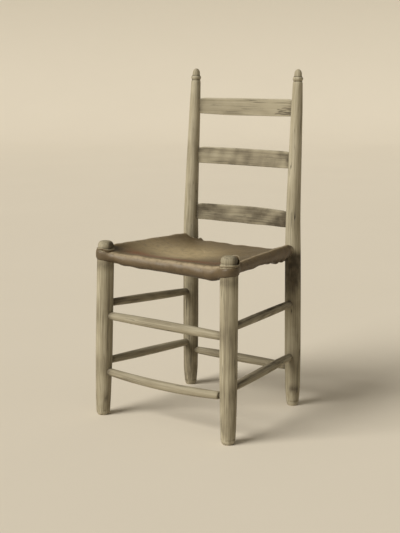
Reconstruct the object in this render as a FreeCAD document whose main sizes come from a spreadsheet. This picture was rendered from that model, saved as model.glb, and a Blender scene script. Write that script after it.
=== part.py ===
import FreeCAD, Part
import math
import os

import Sketcher
from FreeCAD import Vector

# Ladderback side chair with a hide seat, in millimetres.
# +Z is up, the front faces -Y, and left and right are as seen from the front.
# The origin is on the floor, under the middle of the chair.

DRIVING_SIZES = [
    # The four posts: heights, spacing between their axes, and how they lean.
    ("chair_height", 915.0),
    ("front_post_height", 472.0),
    ("front_foot_spread", 405.8),
    ("front_top_spread", 390.0),
    ("rear_foot_spread", 347.8),
    ("rear_top_spread", 329.0),
    ("foot_depth", 364.3),
    ("front_lean", 13.7),
    ("rear_bend_height", 520.0),
    ("rear_bend_reach", 70.0),
    ("rear_knee_lean", -4.7),
    ("rear_top_lean", 17.3),
    # Turned shape of a front post.
    ("front_foot_diameter", 27.0),
    ("front_toe_diameter", 37.5),
    ("front_toe_height", 14.0),
    ("front_ankle_diameter", 40.5),
    ("front_ankle_height", 50.0),
    ("foot_roundness", 3.0),
    ("front_post_diameter", 45.0),
    ("front_swell_height", 170.0),
    ("button_diameter", 41.5),
    ("button_height", 22.0),
    ("button_corner", 9.0),
    # Turned shape of a rear post.
    ("rear_foot_diameter", 27.0),
    ("rear_toe_diameter", 35.0),
    ("rear_toe_height", 14.0),
    ("rear_ankle_diameter", 40.5),
    ("rear_ankle_height", 48.0),
    ("rear_post_diameter", 43.5),
    ("rear_swell_height", 150.0),
    ("rear_straight_height", 300.0),
    ("rear_seat_diameter", 42.5),
    ("lower_slat_post_diameter", 39.2),
    ("middle_slat_post_diameter", 34.6),
    ("top_slat_post_diameter", 30.2),
    ("neck_shaft_diameter", 26.0),
    # Finial on a rear post.
    ("finial_height", 36.0),
    ("finial_neck_diameter", 23.6),
    ("finial_neck_height", 6.0),
    ("finial_ring_diameter", 27.8),
    ("finial_ring_height", 9.0),
    ("finial_tip_diameter", 20.6),
    ("finial_tip_corner", 8.5),
    ("finial_shoulder_diameter", 17.7),
    ("finial_crown_diameter", 6.2),
    ("finial_crown_drop", 0.6),
    ("finial_bulge", 1.7),
    ("finial_overlap", 4.0),
    # Rungs: the heights of their axes at the posts, and their diameters.
    ("upper_front_left_height", 273.1),
    ("upper_front_right_height", 270.1),
    ("upper_front_diameter", 24.5),
    ("upper_front_end_diameter", 20.5),
    ("upper_front_sag", -2.0),
    ("lower_front_left_height", 120.4),
    ("lower_front_right_height", 119.1),
    ("lower_front_diameter", 23.5),
    ("lower_front_end_diameter", 20.5),
    ("lower_front_sag", 7.5),
    ("loose_shoulder_gap", 5.5),
    ("loose_tenon_diameter", 12.5),
    ("left_upper_front_height", 304.2),
    ("left_upper_rear_height", 280.1),
    ("left_upper_diameter", 22.8),
    ("left_lower_front_height", 146.2),
    ("left_lower_rear_height", 129.2),
    ("left_lower_diameter", 23.0),
    ("right_upper_front_height", 291.6),
    ("right_upper_rear_height", 288.8),
    ("right_upper_diameter", 21.5),
    ("right_lower_front_height", 137.8),
    ("right_lower_rear_height", 140.8),
    ("right_lower_diameter", 24.0),
    ("rear_rung_left_height", 105.2),
    ("rear_rung_right_height", 107.5),
    ("rear_rung_diameter", 24.5),
    ("side_end_diameter", 19.5),
    ("rung_tenon_diameter", 15.0),
    ("rung_tip_offset", 1.5),
    ("mouth_depth", 4.0),
    ("tenon_root", 1.0),
    # Seat rails: the heights of their axes, and their diameters.
    ("front_rail_height", 427.0),
    ("rear_rail_height", 417.0),
    ("left_rail_front_height", 442.0),
    ("left_rail_rear_height", 438.0),
    ("right_rail_front_height", 436.0),
    ("right_rail_rear_height", 440.0),
    ("front_rail_diameter", 27.0),
    ("side_rail_diameter", 25.0),
    ("rail_end_diameter", 22.0),
    ("rail_tenon_diameter", 15.0),
    ("rail_tip_offset", 9.0),
    # Slats of the back: how far their lower edges are below the top of the chair, above halfway
    # and above the highest seat rail, and their shape.
    ("top_slat_drop", 124.5),
    ("middle_slat_offset", 10.55),
    ("lower_slat_rise", 53.8),
    ("slat_height", 46.0),
    ("slat_shoulder_height", 44.8),
    ("slat_tenon_height", 38.5),
    ("slat_shoulder_length", 30.0),
    ("slat_thickness", 6.5),
    ("slat_belly", 2.0),
    ("top_slat_bow", 24.0),
    ("middle_slat_bow", 24.0),
    ("lower_slat_bow", 14.0),
    ("slot_depth", 11.0),
    # Pegs through the ends of the top slat.
    ("peg_diameter", 5.0),
    ("peg_setback", 5.0),
    ("peg_reach", 7.0),
    ("peg_stand", 0.6),
    ("peg_run_out", 1.0),
    # Hide seat and the lacing below it.
    ("hide_thickness", 3.0),
    ("seat_middle_height", 430.0),
    ("collar_bottom", 420.0),
    ("collar_top", 447.5),
    ("flap_length", 34.0),
    ("thong_width", 6.0),
    ("thong_thickness", 2.0),
    ("thong_lap", 12.0),
    ("long_thong_count", 9),
    ("cross_thong_count", 7),
    # Fits between the pieces.
    ("joint_fit", 0.2),
    ("peg_fit", 0.1),
    ("hide_clearance", 0.3),
    ("roll_clearance", 0.45),
    ("thong_clearance", 1.2),
    ("floor_allowance", 3.0),
]

LEFT = -1
RIGHT = 1
SIDE_NAMES = {LEFT: "left", RIGHT: "right"}

doc = FreeCAD.newDocument("ladderback_chair")
sheet = doc.addObject("Spreadsheet::Sheet", "Sizes")
for row, (alias, amount) in enumerate(DRIVING_SIZES, start=1):
    sheet.set(f"A{row}", alias.replace("_", " "))
    sheet.set(f"B{row}", str(amount))
    sheet.setAlias(f"B{row}", alias)
doc.recompute()


class Size:
    """A size as an expression over the sheet's cells, together with its value now."""

    def __init__(self, text, value):
        self.text = text
        self.value = value

    def __add__(self, other):
        other = as_size(other)
        return Size(f"({self.text} + {other.text})", self.value + other.value)

    def __sub__(self, other):
        other = as_size(other)
        return Size(f"({self.text} - {other.text})", self.value - other.value)

    def __mul__(self, other):
        other = as_size(other)
        return Size(f"({self.text} * {other.text})", self.value * other.value)

    def __truediv__(self, other):
        other = as_size(other)
        return Size(f"({self.text} / {other.text})", self.value / other.value)

    def __neg__(self):
        return Size(f"(0 - {self.text})", -self.value)

    __radd__ = __add__
    __rmul__ = __mul__


def as_size(amount):
    """A plain number as a size."""
    if isinstance(amount, Size):
        return amount
    return Size(repr(float(amount)), float(amount))


def cell(alias):
    """The size that a cell of the sheet holds."""
    return Size(f"Sizes.{alias}", float(sheet.get(alias)))


def root(size):
    return Size(f"sqrt({size.text})", math.sqrt(size.value))


def smaller(one, other):
    one = as_size(one)
    other = as_size(other)
    return Size(f"min({one.text}; {other.text})", min(one.value, other.value))


def larger(one, other):
    one = as_size(one)
    other = as_size(other)
    return Size(f"max({one.text}; {other.text})", max(one.value, other.value))


def bind(thing, **sizes):
    """Tie properties of an object to sizes."""
    for name, size in sizes.items():
        thing.setExpression(name, as_size(size).text)


# Where the axes of the posts run

def rear_lean(height):
    """How far back a rear post's axis is at a height: two straight lines and a parabola between."""
    bend = cell("rear_bend_height")
    reach = cell("rear_bend_reach")
    low = cell("rear_knee_lean") / bend
    high = (cell("rear_top_lean") - cell("rear_knee_lean")) / (cell("chair_height") - bend)
    share = smaller(larger((height - bend + reach) / (reach * 2), 0), 1)
    beyond = larger(height - bend - reach, 0)
    return low * height + (high - low) * (reach * share * share + beyond)


def slat_bottom(level):
    """Height of a slat's lower edge: below the chair's top, above the seat, or between the two."""
    seat_rails = larger(larger(cell("left_rail_rear_height"), cell("right_rail_rear_height")),
                        cell("rear_rail_height"))
    top = cell("chair_height") - cell("top_slat_drop")
    lower = seat_rails + cell("lower_slat_rise")
    middle = (top + lower) / 2 + cell("middle_slat_offset")
    return {"top": top, "middle": middle, "lower": lower}[level]


# The chair reaches back to the bent top slat, and forward to the front posts.
front_foot_y = -(cell("foot_depth") + rear_lean(slat_bottom("top") + cell("slat_height"))
                 + cell("top_slat_bow") + cell("slat_thickness") / 2
                 - cell("front_post_diameter") / 2) / 2
rear_foot_y = front_foot_y + cell("foot_depth")


def rear_slope(height):
    """How steeply a rear post leans back at a height."""
    step = 5
    return (rear_lean(height + step) - rear_lean(height - step)) / (2 * step)


def front_point(side, height):
    """Where a front post's axis is at a height."""
    height = as_size(height)
    share = height / cell("front_post_height")
    spread = cell("front_foot_spread") - (cell("front_foot_spread") - cell("front_top_spread")) * share
    return spread * side / 2, front_foot_y + cell("front_lean") * share, height


def rear_point(side, height):
    """Where a rear post's axis is at a height."""
    height = as_size(height)
    share = height / cell("chair_height")
    spread = cell("rear_foot_spread") - (cell("rear_foot_spread") - cell("rear_top_spread")) * share
    return spread * side / 2, rear_foot_y + rear_lean(height), height


def axis_line(name, start, end):
    """A construction line from one point to another, with its length in Span."""
    line = doc.addObject("Part::Line", name)
    bind(line, X1=start[0], Y1=start[1], Z1=start[2], X2=end[0], Y2=end[1], Z2=end[2])
    line.addProperty("App::PropertyFloat", "Span")
    line.setExpression("Span", "sqrt((X2 - X1)^2 + (Y2 - Y1)^2 + (Z2 - Z1)^2) / 1mm")
    doc.recompute()
    return line


def span(line):
    return Size(f"{line.Name}.Span", line.Span)


def lay_along(thing, line):
    """Put an object's own origin at the line's start, with its Z axis along the line."""
    n = line.Name
    base = f"vector({n}.X1; {n}.Y1; {n}.Z1)"
    tilt = f"acos(({n}.Z2 - {n}.Z1) / ({n}.Span * 1mm))"
    turn = f"rotation(vector({n}.Y1 - {n}.Y2; {n}.X2 - {n}.X1; 0); {tilt})"
    thing.setExpression("Placement", f"placement({base}; {turn})")


# Sketch helpers

def origin_plane(body, role):
    return next(f for f in body.Origin.OriginFeatures if f.Role == role)


def new_sketch(body, name, role):
    sketch = body.newObject("Sketcher::SketchObject", name)
    sketch.AttachmentSupport = [(origin_plane(body, role), "")]
    sketch.MapMode = "FlatFace"
    return sketch


def tie(sketch, kind, *where, size, name):
    """Add a dimension to a sketch and tie it to a size."""
    number = sketch.addConstraint(Sketcher.Constraint(kind, *where, size.value))
    sketch.renameConstraint(number, name)
    sketch.setExpression(f"Constraints.{name}", size.text)


def outline(sketch, corners, bulges=None):
    """A closed outline through corners, each placed from the origin.

    A bulge is how far the stretch after a corner stands out to the right of its direction, as an
    arc; a stretch without one is straight.
    """
    bulges = bulges or {}
    count = len(corners)
    points = [Vector(x.value, y.value, 0) for x, y in corners]
    for i in range(count):
        start = points[i]
        end = points[(i + 1) % count]
        if i in bulges:
            chord = end - start
            outward = Vector(chord.y, -chord.x, 0).normalize() * bulges[i].value
            edge = Part.Arc(start, (start + end) / 2 + outward, end)
            sketch.addGeometry(edge, False)
        else:
            sketch.addGeometry(Part.LineSegment(start, end), False)
    # An arc keeps its ends in counterclockwise order, so its start may be the outline's end.
    ends = []
    for i in range(count):
        edge = sketch.Geometry[i]
        to_start = edge.StartPoint.distanceToPoint(points[i])
        to_end = edge.EndPoint.distanceToPoint(points[i])
        ends.append((1, 2) if to_start < to_end else (2, 1))
    for i in range(count):
        after = (i + 1) % count
        sketch.addConstraint(Sketcher.Constraint("Coincident", i, ends[i][1], after, ends[after][0]))
    for i, (x, y) in enumerate(corners):
        for kind, axis, size in (("DistanceX", "across", x), ("DistanceY", "up", y)):
            if abs(size.value) < 1e-9:
                line = -2 if kind == "DistanceX" else -1
                sketch.addConstraint(Sketcher.Constraint("PointOnObject", i, ends[i][0], line))
            else:
                tie(sketch, kind, -1, 1, i, ends[i][0], size=size, name=f"{axis}_{i}")
    for i, bulge in bulges.items():
        start = corners[i]
        end = corners[(i + 1) % count]
        chord_squared = ((end[0] - start[0]) * (end[0] - start[0])
                         + (end[1] - start[1]) * (end[1] - start[1]))
        radius = (chord_squared / 4 + bulge * bulge) / (bulge * 2)
        tie(sketch, "Radius", i, size=radius, name=f"radius_{i}")


def circle(sketch, radius):
    """A circle about the sketch's origin."""
    sketch.addGeometry(Part.Circle(Vector(0, 0, 0), Vector(0, 0, 1), radius.value), False)
    sketch.addConstraint(Sketcher.Constraint("Coincident", 0, 3, -1, 1))
    tie(sketch, "Radius", 0, size=radius, name="radius")


def ring_section(body, name, radius, along, across=None, back=None):
    """A circle square to the body's own Z axis, at a distance along it."""
    sketch = new_sketch(body, name, "XY_Plane")
    circle(sketch, radius)
    sketch.setExpression("AttachmentOffset.Base.z", along.text)
    if across is not None:
        sketch.setExpression("AttachmentOffset.Base.x", across.text)
    if back is not None:
        sketch.setExpression("AttachmentOffset.Base.y", back.text)
    return sketch


def turned(body, name, corners, bulges=None):
    """A turned solid about the body's own Z axis, from half of its outline."""
    sketch = new_sketch(body, f"{name}_outline", "XZ_Plane")
    outline(sketch, corners, bulges)
    revolution = body.newObject("PartDesign::Revolution", name)
    revolution.Profile = sketch
    revolution.ReferenceAxis = (sketch, ["V_Axis"])
    revolution.Angle = 360
    return revolution


# Rungs and rails

def spindle(name, line, tips, shoulders, tenons, end_radius, middle_radius, extra=0):
    """A straight rung: a barrel between two shoulders, with a tenon beyond each.

    Tips and shoulders are distances from the line's two ends. Extra makes every face that much
    larger, which gives the shape of the socket that the piece fits.
    """
    body = doc.addObject("PartDesign::Body", name)
    length = span(line)
    low_tip = tips[0] - extra
    high_tip = length - tips[1] + extra
    low_shoulder = shoulders[0] - extra
    high_shoulder = length - shoulders[1] + extra
    zero = as_size(0)
    corners = [
        (zero, low_tip),
        (tenons[0] + extra, low_tip),
        (tenons[0] + extra, low_shoulder),
        (end_radius + extra, low_shoulder),
        (end_radius + extra, high_shoulder),
        (tenons[1] + extra, high_shoulder),
        (tenons[1] + extra, high_tip),
        (zero, high_tip),
    ]
    turned(body, f"{name}_spindle", corners, {3: middle_radius - end_radius})
    lay_along(body, line)
    return body


# Shares along a bowed rung where its round sections are drawn.
BOW_SECTIONS = (0.0, 0.08, 0.28, 0.5, 0.72, 0.92, 1.0)


def bowed_spindle(name, line, tips, shoulders, tenons, end_radius, middle_radius, sag, extra=0):
    """A rung that sags between its shoulders, with a straight tenon beyond each."""
    body = doc.addObject("PartDesign::Body", name)
    length = span(line)
    low_shoulder = shoulders[0] - extra
    high_shoulder = length - shoulders[1] + extra
    sections = []
    for number, share in enumerate(BOW_SECTIONS):
        hump = 4 * share * (1 - share)
        sections.append(ring_section(
            body, f"{name}_section_{number}",
            end_radius + (middle_radius - end_radius) * hump + extra,
            low_shoulder + (high_shoulder - low_shoulder) * share,
            across=sag * hump))
    loft = body.newObject("PartDesign::AdditiveLoft", f"{name}_shaft")
    loft.Profile = sections[0]
    loft.Sections = sections[1:]
    ends = (("low", tips[0] - extra, low_shoulder + cell("tenon_root"), tenons[0]),
            ("high", high_shoulder - cell("tenon_root"), length - tips[1] + extra, tenons[1]))
    for which, start, stop, radius in ends:
        pad = body.newObject("PartDesign::Pad", f"{name}_{which}_tenon")
        pad.Profile = ring_section(body, f"{name}_{which}_tenon_ring", radius + extra, start)
        bind(pad, Length=stop - start)
    lay_along(body, line)
    return body


front_shoulder = cell("front_post_diameter") / 2 - cell("mouth_depth")
rear_shoulder = cell("rear_post_diameter") / 2 - cell("mouth_depth")
rung_tip = cell("rung_tip_offset")
rung_tenon = cell("rung_tenon_diameter") / 2
loose_tenon = cell("loose_tenon_diameter") / 2
loose_shoulder = cell("front_post_diameter") / 2 + cell("loose_shoulder_gap")
joint_fit = cell("joint_fit")

# Each row: name, start and end of its axis, distances of its shoulders, tenon radii, end diameter,
# middle diameter, and the sag of a bowed one.
RUNGS = [
    ("upper_front_rung",
     front_point(LEFT, cell("upper_front_left_height")),
     front_point(RIGHT, cell("upper_front_right_height")),
     (front_shoulder, front_shoulder), (rung_tenon, rung_tenon),
     "upper_front_end_diameter", "upper_front_diameter", "upper_front_sag"),
    ("lower_front_rung",
     front_point(LEFT, cell("lower_front_left_height")),
     front_point(RIGHT, cell("lower_front_right_height")),
     (front_shoulder, loose_shoulder), (rung_tenon, loose_tenon),
     "lower_front_end_diameter", "lower_front_diameter", "lower_front_sag"),
    ("rear_rung",
     rear_point(LEFT, cell("rear_rung_left_height")), rear_point(RIGHT, cell("rear_rung_right_height")),
     (rear_shoulder, rear_shoulder), (rung_tenon, rung_tenon),
     "side_end_diameter", "rear_rung_diameter", None),
]
for side in (LEFT, RIGHT):
    for level in ("upper", "lower"):
        stem = f"{SIDE_NAMES[side]}_{level}"
        RUNGS.append((
            f"{stem}_rung",
            front_point(side, cell(f"{stem}_front_height")),
            rear_point(side, cell(f"{stem}_rear_height")),
            (front_shoulder, rear_shoulder), (rung_tenon, rung_tenon),
            "side_end_diameter", f"{stem}_diameter", None))

# Each row: name, start and end of the axis, and the diameter that the hide wraps.
RAILS = [
    ("front_seat_rail", front_point(LEFT, cell("front_rail_height")),
     front_point(RIGHT, cell("front_rail_height")), "front_rail_diameter"),
    ("rear_seat_rail", rear_point(LEFT, cell("rear_rail_height")),
     rear_point(RIGHT, cell("rear_rail_height")), "side_rail_diameter"),
    ("left_seat_rail", front_point(LEFT, cell("left_rail_front_height")),
     rear_point(LEFT, cell("left_rail_rear_height")), "side_rail_diameter"),
    ("right_seat_rail", front_point(RIGHT, cell("right_rail_front_height")),
     rear_point(RIGHT, cell("right_rail_rear_height")), "side_rail_diameter"),
]

pieces = {}
sockets = {}
axes = {}

for name, start, end, shoulders, tenons, end_size, middle_size, sag in RUNGS:
    line = axis_line(f"{name}_axis", start, end)
    end_radius = cell(end_size) / 2
    middle_radius = cell(middle_size) / 2
    tips = (rung_tip, rung_tip)
    shape = (line, tips, shoulders, tenons, end_radius, middle_radius)
    if sag:
        pieces[name] = bowed_spindle(name, *shape, cell(sag))
        sockets[name] = bowed_spindle(f"{name}_socket", *shape, cell(sag), extra=joint_fit)
    else:
        pieces[name] = spindle(name, *shape)
        sockets[name] = spindle(f"{name}_socket", *shape, extra=joint_fit)

for name, start, end, diameter in RAILS:
    line = axis_line(f"{name}_axis", start, end)
    axes[name] = line
    at_front = name != "rear_seat_rail"
    at_rear = name != "front_seat_rail"
    first = front_shoulder if at_front else rear_shoulder
    last = rear_shoulder if at_rear else front_shoulder
    tips = (cell("rail_tip_offset"), cell("rail_tip_offset"))
    tenon = cell("rail_tenon_diameter") / 2
    shape = (line, tips, (first, last), (tenon, tenon), cell("rail_end_diameter") / 2, cell(diameter) / 2)
    pieces[name] = spindle(name, *shape)
    sockets[name] = spindle(f"{name}_socket", *shape, extra=joint_fit)


# Slats of the back, each a board bent backwards

SLATS = ("top", "middle", "lower")


def slat(name, level, extra=0):
    """A bent slat: its front outline, cut out of a thin upright cylinder wall.

    Its own origin is at the left tip of its bottom edge. Extra makes every face that much larger.
    """
    bottom = slat_bottom(level)
    middle = bottom + cell("slat_height") / 2
    axis_x = rear_point(RIGHT, middle)[0]
    reach = axis_x - cell(f"{level}_slat_post_diameter") / 2 + cell("slot_depth")
    bow = cell(f"{level}_slat_bow")
    radius = (reach * reach + bow * bow) / (bow * 2)
    shoulder = cell("slat_shoulder_length")
    zero = as_size(0)
    margin = as_size(extra)

    board = doc.addObject("PartDesign::Body", f"{name}_board")
    sketch = new_sketch(board, f"{name}_outline", "XZ_Plane")
    length = reach * 2 + margin * 2
    # The outline is drawn from the enlarged corner, and the board is moved back by the margin.
    corners = [
        (zero, zero),
        (length, zero),
        (length, cell("slat_tenon_height") + margin * 2),
        (length - shoulder, cell("slat_shoulder_height") + margin * 2),
        (shoulder, cell("slat_shoulder_height") + margin * 2),
        (zero, cell("slat_tenon_height") + margin * 2),
    ]
    arch = cell("slat_height") - cell("slat_shoulder_height")
    outline(sketch, corners, {0: cell("slat_belly"), 3: arch})
    pad = board.newObject("PartDesign::Pad", f"{name}_pad")
    pad.Profile = sketch
    pad.Midplane = True
    bind(pad, Length=bow * 4)

    walls = []
    for which, offset in (("back", cell("slat_thickness") / 2 + margin),
                          ("front", -(cell("slat_thickness") / 2 + margin))):
        wall = doc.addObject("Part::Cylinder", f"{name}_{which}_wall")
        bind(wall, Radius=radius + offset, Height=cell("slat_height") * 2)
        wall.setExpression("Placement.Base.x", (reach + margin).text)
        wall.setExpression("Placement.Base.y", (bow - radius).text)
        wall.setExpression("Placement.Base.z", (-(cell("slat_height") / 2)).text)
        walls.append(wall)
    shell = doc.addObject("Part::Cut", f"{name}_shell")
    shell.Base, shell.Tool = walls
    whole = doc.addObject("Part::Common", name)
    whole.Base = board
    whole.Tool = shell
    x = -(reach + margin)
    y = rear_foot_y + rear_lean(bottom)
    z = bottom - margin
    tilt = f"atan({rear_slope(middle).text})"
    whole.setExpression("Placement", f"placement(vector({x.text}; {y.text}; {z.text}); "
                                     f"rotation(vector(1; 0; 0); 0deg - {tilt}))")
    return whole


for level in SLATS:
    name = f"{level}_slat"
    pieces[name] = slat(name, level)
    sockets[name] = slat(f"{name}_socket", level, extra=joint_fit)


# Pegs, driven from behind through the ends of the top slat

def peg(name, side, extra=0):
    """A round peg along the leaning post's own back-to-front direction."""
    middle = slat_bottom("top") + cell("slat_height") / 2
    post_x, post_y, _ = rear_point(side, middle)
    post_radius = cell("top_slat_post_diameter") / 2
    inset = post_radius - cell("slot_depth") + cell("peg_setback")
    reach = cell("peg_reach") + extra
    # The back end stands a little proud of the post's round surface there.
    stand = root(post_radius * post_radius - inset * inset) + cell("peg_stand")
    pin = doc.addObject("Part::Cylinder", name)
    run_out = cell("peg_run_out") if extra else 0
    bind(pin, Radius=cell("peg_diameter") / 2 + extra, Height=reach + stand + run_out)
    x = post_x - inset * side
    y = post_y - reach
    tilt = f"atan({rear_slope(middle).text})"
    pin.setExpression("Placement", f"placement(vector({x.text}; {y.text}; {middle.text}); "
                                   f"rotation(vector(1; 0; 0); 0deg - 90deg - {tilt}))")
    return pin


peg_holes = {}
for side in (LEFT, RIGHT):
    name = f"top_slat_peg_{SIDE_NAMES[side]}"
    pieces[name] = peg(name, side)
    peg_holes[side] = peg(f"{name}_hole", side, extra=cell("peg_fit"))

bored_slat = doc.addObject("Part::Cut", "top_slat_bored")
slat_holes = doc.addObject("Part::MultiFuse", "top_slat_holes")
slat_holes.Shapes = list(peg_holes.values())
bored_slat.Base = pieces["top_slat"]
bored_slat.Tool = slat_holes
pieces["top_slat"] = bored_slat


# Posts, turned and then bored for everything that enters them

def front_blank(side):
    """A front post as it leaves the lathe, with its button on top."""
    name = f"front_blank_{SIDE_NAMES[side]}"
    line = axis_line(f"{name}_axis", front_point(side, 0), front_point(side, cell("front_post_height")))
    body = doc.addObject("PartDesign::Body", name)
    length = span(line)
    post = cell("front_post_diameter") / 2
    button = cell("button_diameter") / 2
    corner = cell("button_corner")
    neck = length - cell("button_height")
    zero = as_size(0)
    sole = cell("floor_allowance")
    # The outline starts below the floor, so its heights are counted from there.
    corners = [
        (zero, zero),
        (cell("front_foot_diameter") / 2, zero),
        (cell("front_toe_diameter") / 2, cell("front_toe_height") + sole),
        (cell("front_ankle_diameter") / 2, cell("front_ankle_height") + sole),
        (post, cell("front_swell_height") + sole),
        (post, neck + sole),
        (button, neck + sole + (post - button)),
        (button, length - corner + sole),
        (button - corner, length + sole),
        (zero, length + sole),
    ]
    turn = turned(body, f"{name}_turning", corners,
                  {1: cell("foot_roundness"), 7: corner * (1 - math.sqrt(0.5))})
    turn.Profile[0].setExpression("AttachmentOffset.Base.y", (-sole).text)
    lay_along(body, line)
    return body


def rear_blank(side):
    """A rear post: a bent tapering shaft through round sections, with a turned finial."""
    name = f"rear_blank_{SIDE_NAMES[side]}"
    foot = rear_point(side, 0)
    top = rear_point(side, cell("chair_height"))
    line = axis_line(f"{name}_axis", foot, (top[0], foot[1], top[2]))
    body = doc.addObject("PartDesign::Body", name)
    stretch = span(line) / cell("chair_height")
    half_slat = cell("slat_height") / 2
    shaft_top = cell("chair_height") - cell("finial_height")
    stations = [
        (-cell("floor_allowance"), "rear_foot_diameter"),
        (cell("rear_toe_height"), "rear_toe_diameter"),
        (cell("rear_ankle_height"), "rear_ankle_diameter"),
        (cell("rear_swell_height"), "rear_post_diameter"),
        (cell("rear_straight_height"), "rear_post_diameter"),
        (cell("left_rail_rear_height"), "rear_seat_diameter"),
        (slat_bottom("lower") + half_slat, "lower_slat_post_diameter"),
        (slat_bottom("middle") + half_slat, "middle_slat_post_diameter"),
        (slat_bottom("top") + half_slat, "top_slat_post_diameter"),
        (shaft_top, "neck_shaft_diameter"),
    ]
    sections = []
    for number, (height, diameter) in enumerate(stations):
        sections.append(ring_section(body, f"{name}_section_{number}", cell(diameter) / 2,
                                     height * stretch, back=rear_lean(height)))
    loft = body.newObject("PartDesign::AdditiveLoft", f"{name}_shaft")
    loft.Profile = sections[0]
    loft.Sections = sections[1:]

    neck = cell("finial_neck_diameter") / 2
    ring = cell("finial_ring_diameter") / 2
    tip = cell("finial_tip_diameter") / 2
    corner = cell("finial_tip_corner")
    overlap = cell("finial_overlap")
    ring_low = cell("finial_neck_height") + overlap
    ring_high = ring_low + cell("finial_ring_height")
    summit = cell("finial_height") + overlap
    zero = as_size(0)
    corners = [
        (zero, zero),
        (neck, zero),
        (neck, ring_low),
        (tip, ring_high),
        (cell("finial_shoulder_diameter") / 2, summit - corner),
        (cell("finial_crown_diameter") / 2, summit - cell("finial_crown_drop")),
        (zero, summit),
    ]
    turn = turned(body, f"{name}_finial", corners,
                  {2: ring - (neck + tip) / 2, 4: cell("finial_bulge")})
    sketch = turn.Profile[0]
    slope = rear_slope(shaft_top)
    # The finial stands in line with the leaning shaft, a little sunk into its top.
    sketch.AttachmentSupport = [(origin_plane(body, "YZ_Plane"), "")]
    sketch.setExpression("AttachmentOffset.Base.x", (rear_lean(shaft_top) - overlap * slope).text)
    sketch.setExpression("AttachmentOffset.Base.y", (shaft_top * stretch - overlap).text)
    sketch.setExpression("AttachmentOffset.Rotation.Angle", f"atan({slope.text})")
    sketch.setExpression("AttachmentOffset.Rotation.Axis.z", "-1")
    lay_along(body, line)
    return body


def floor_saw(name, side, point):
    """The block below the floor that saws a foot off level."""
    width = cell("front_post_diameter") * 2
    block = doc.addObject("Part::Box", f"{name}_saw")
    bind(block, Length=width, Width=width, Height=cell("floor_allowance") * 4)
    x, y, _ = point(side, 0)
    block.setExpression("Placement.Base.x", (x - width / 2).text)
    block.setExpression("Placement.Base.y", (y - width / 2).text)
    block.setExpression("Placement.Base.z", (-(cell("floor_allowance") * 4)).text)
    return block


def bored(name, blank, tools):
    """A post with its sockets, slots and sawn foot."""
    tool = doc.addObject("Part::MultiFuse", f"{name}_tools")
    tool.Shapes = tools
    post = doc.addObject("Part::Cut", name)
    post.Base = blank
    post.Tool = tool
    return post


for side in (LEFT, RIGHT):
    word = SIDE_NAMES[side]
    beside = [f"{word}_upper_rung", f"{word}_lower_rung", f"{word}_seat_rail"]
    name = f"front_post_{word}"
    entering = ["upper_front_rung", "lower_front_rung", "front_seat_rail"] + beside
    tools = [sockets[n] for n in entering] + [floor_saw(name, side, front_point)]
    pieces[name] = bored(name, front_blank(side), tools)
    name = f"rear_post_{word}"
    entering = ["rear_rung", "rear_seat_rail", "top_slat", "middle_slat", "lower_slat"] + beside
    slot_hole = peg(f"{name}_peg_hole", side, extra=cell("peg_fit"))
    tools = [sockets[n] for n in entering] + [slot_hole, floor_saw(name, side, rear_point)]
    pieces[name] = bored(name, rear_blank(side), tools)

doc.recompute()


# Hide seat, worked out in code because it is a bent sheet

def point_of(corner):
    return Vector(*(axis.value for axis in corner))


def line_ends(line):
    return Vector(line.X1, line.Y1, line.Z1), Vector(line.X2, line.Y2, line.Z2)


def rail_top(name, share):
    """The highest line of the hide over a rail, at a share of the rail's length."""
    start, end = line_ends(axes[name])
    middle = start + (end - start) * share
    return middle + Vector(0, 0, rail_radii[name] + clear + thick)


clear = cell("hide_clearance").value
roll_clear = cell("roll_clearance").value
thick = cell("hide_thickness").value
rail_radii = {name: cell(diameter).value / 2 for name, _, _, diameter in RAILS}


# How the hide hangs between its rails: how full its dish is, how late it climbs to the side rails
# at mid-depth and how much later at the front and rear ends, and how near the ends that begins.
DISH_FULLNESS = 0.9
SIDE_CLIMB = 2.4
END_CLIMB = 14
END_SPREAD = 6


def seat_height(across, back):
    """Height of the seat's top, where across and back run from 0 to 1.

    The middle line falls from the front roll to the dished middle and rises to the rear roll. Away
    from it the sheet climbs to the side rolls, sooner at mid-depth than near the front and rear.
    """
    front = rail_top("front_seat_rail", across).z
    rear = rail_top("rear_seat_rail", across).z
    left = rail_top("left_seat_rail", back).z
    right = rail_top("right_seat_rail", back).z
    middle = cell("seat_middle_height").value
    roll = front * (1 - back) + rear * back
    dish = (roll - middle) * math.sin(math.pi * back) ** DISH_FULLNESS
    spine = roll - dish
    out = abs(2 * across - 1)
    sharpness = SIDE_CLIMB + END_CLIMB * (2 * back - 1) ** END_SPREAD
    side_height = left if across < 0.5 else right
    return spine + (side_height - spine) * out ** sharpness


def seat_panel():
    """The dished sheet between the four rolls."""
    across_count = 13
    back_count = 11
    grid = []
    for j in range(back_count):
        back = j / (back_count - 1)
        left = rail_top("left_seat_rail", back)
        right = rail_top("right_seat_rail", back)
        front_y = rail_top("front_seat_rail", 0.5).y
        rear_y = rail_top("rear_seat_rail", 0.5).y
        row = []
        for i in range(across_count):
            across = i / (across_count - 1)
            x = left.x + (right.x - left.x) * across
            y = front_y + (rear_y - front_y) * back
            row.append(Vector(x, y, seat_height(across, back)))
        grid.append(row)
    surface = Part.BSplineSurface()
    surface.interpolate(grid)
    return surface.toShape().extrude(Vector(0, 0, -(thick - clear)))


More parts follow.
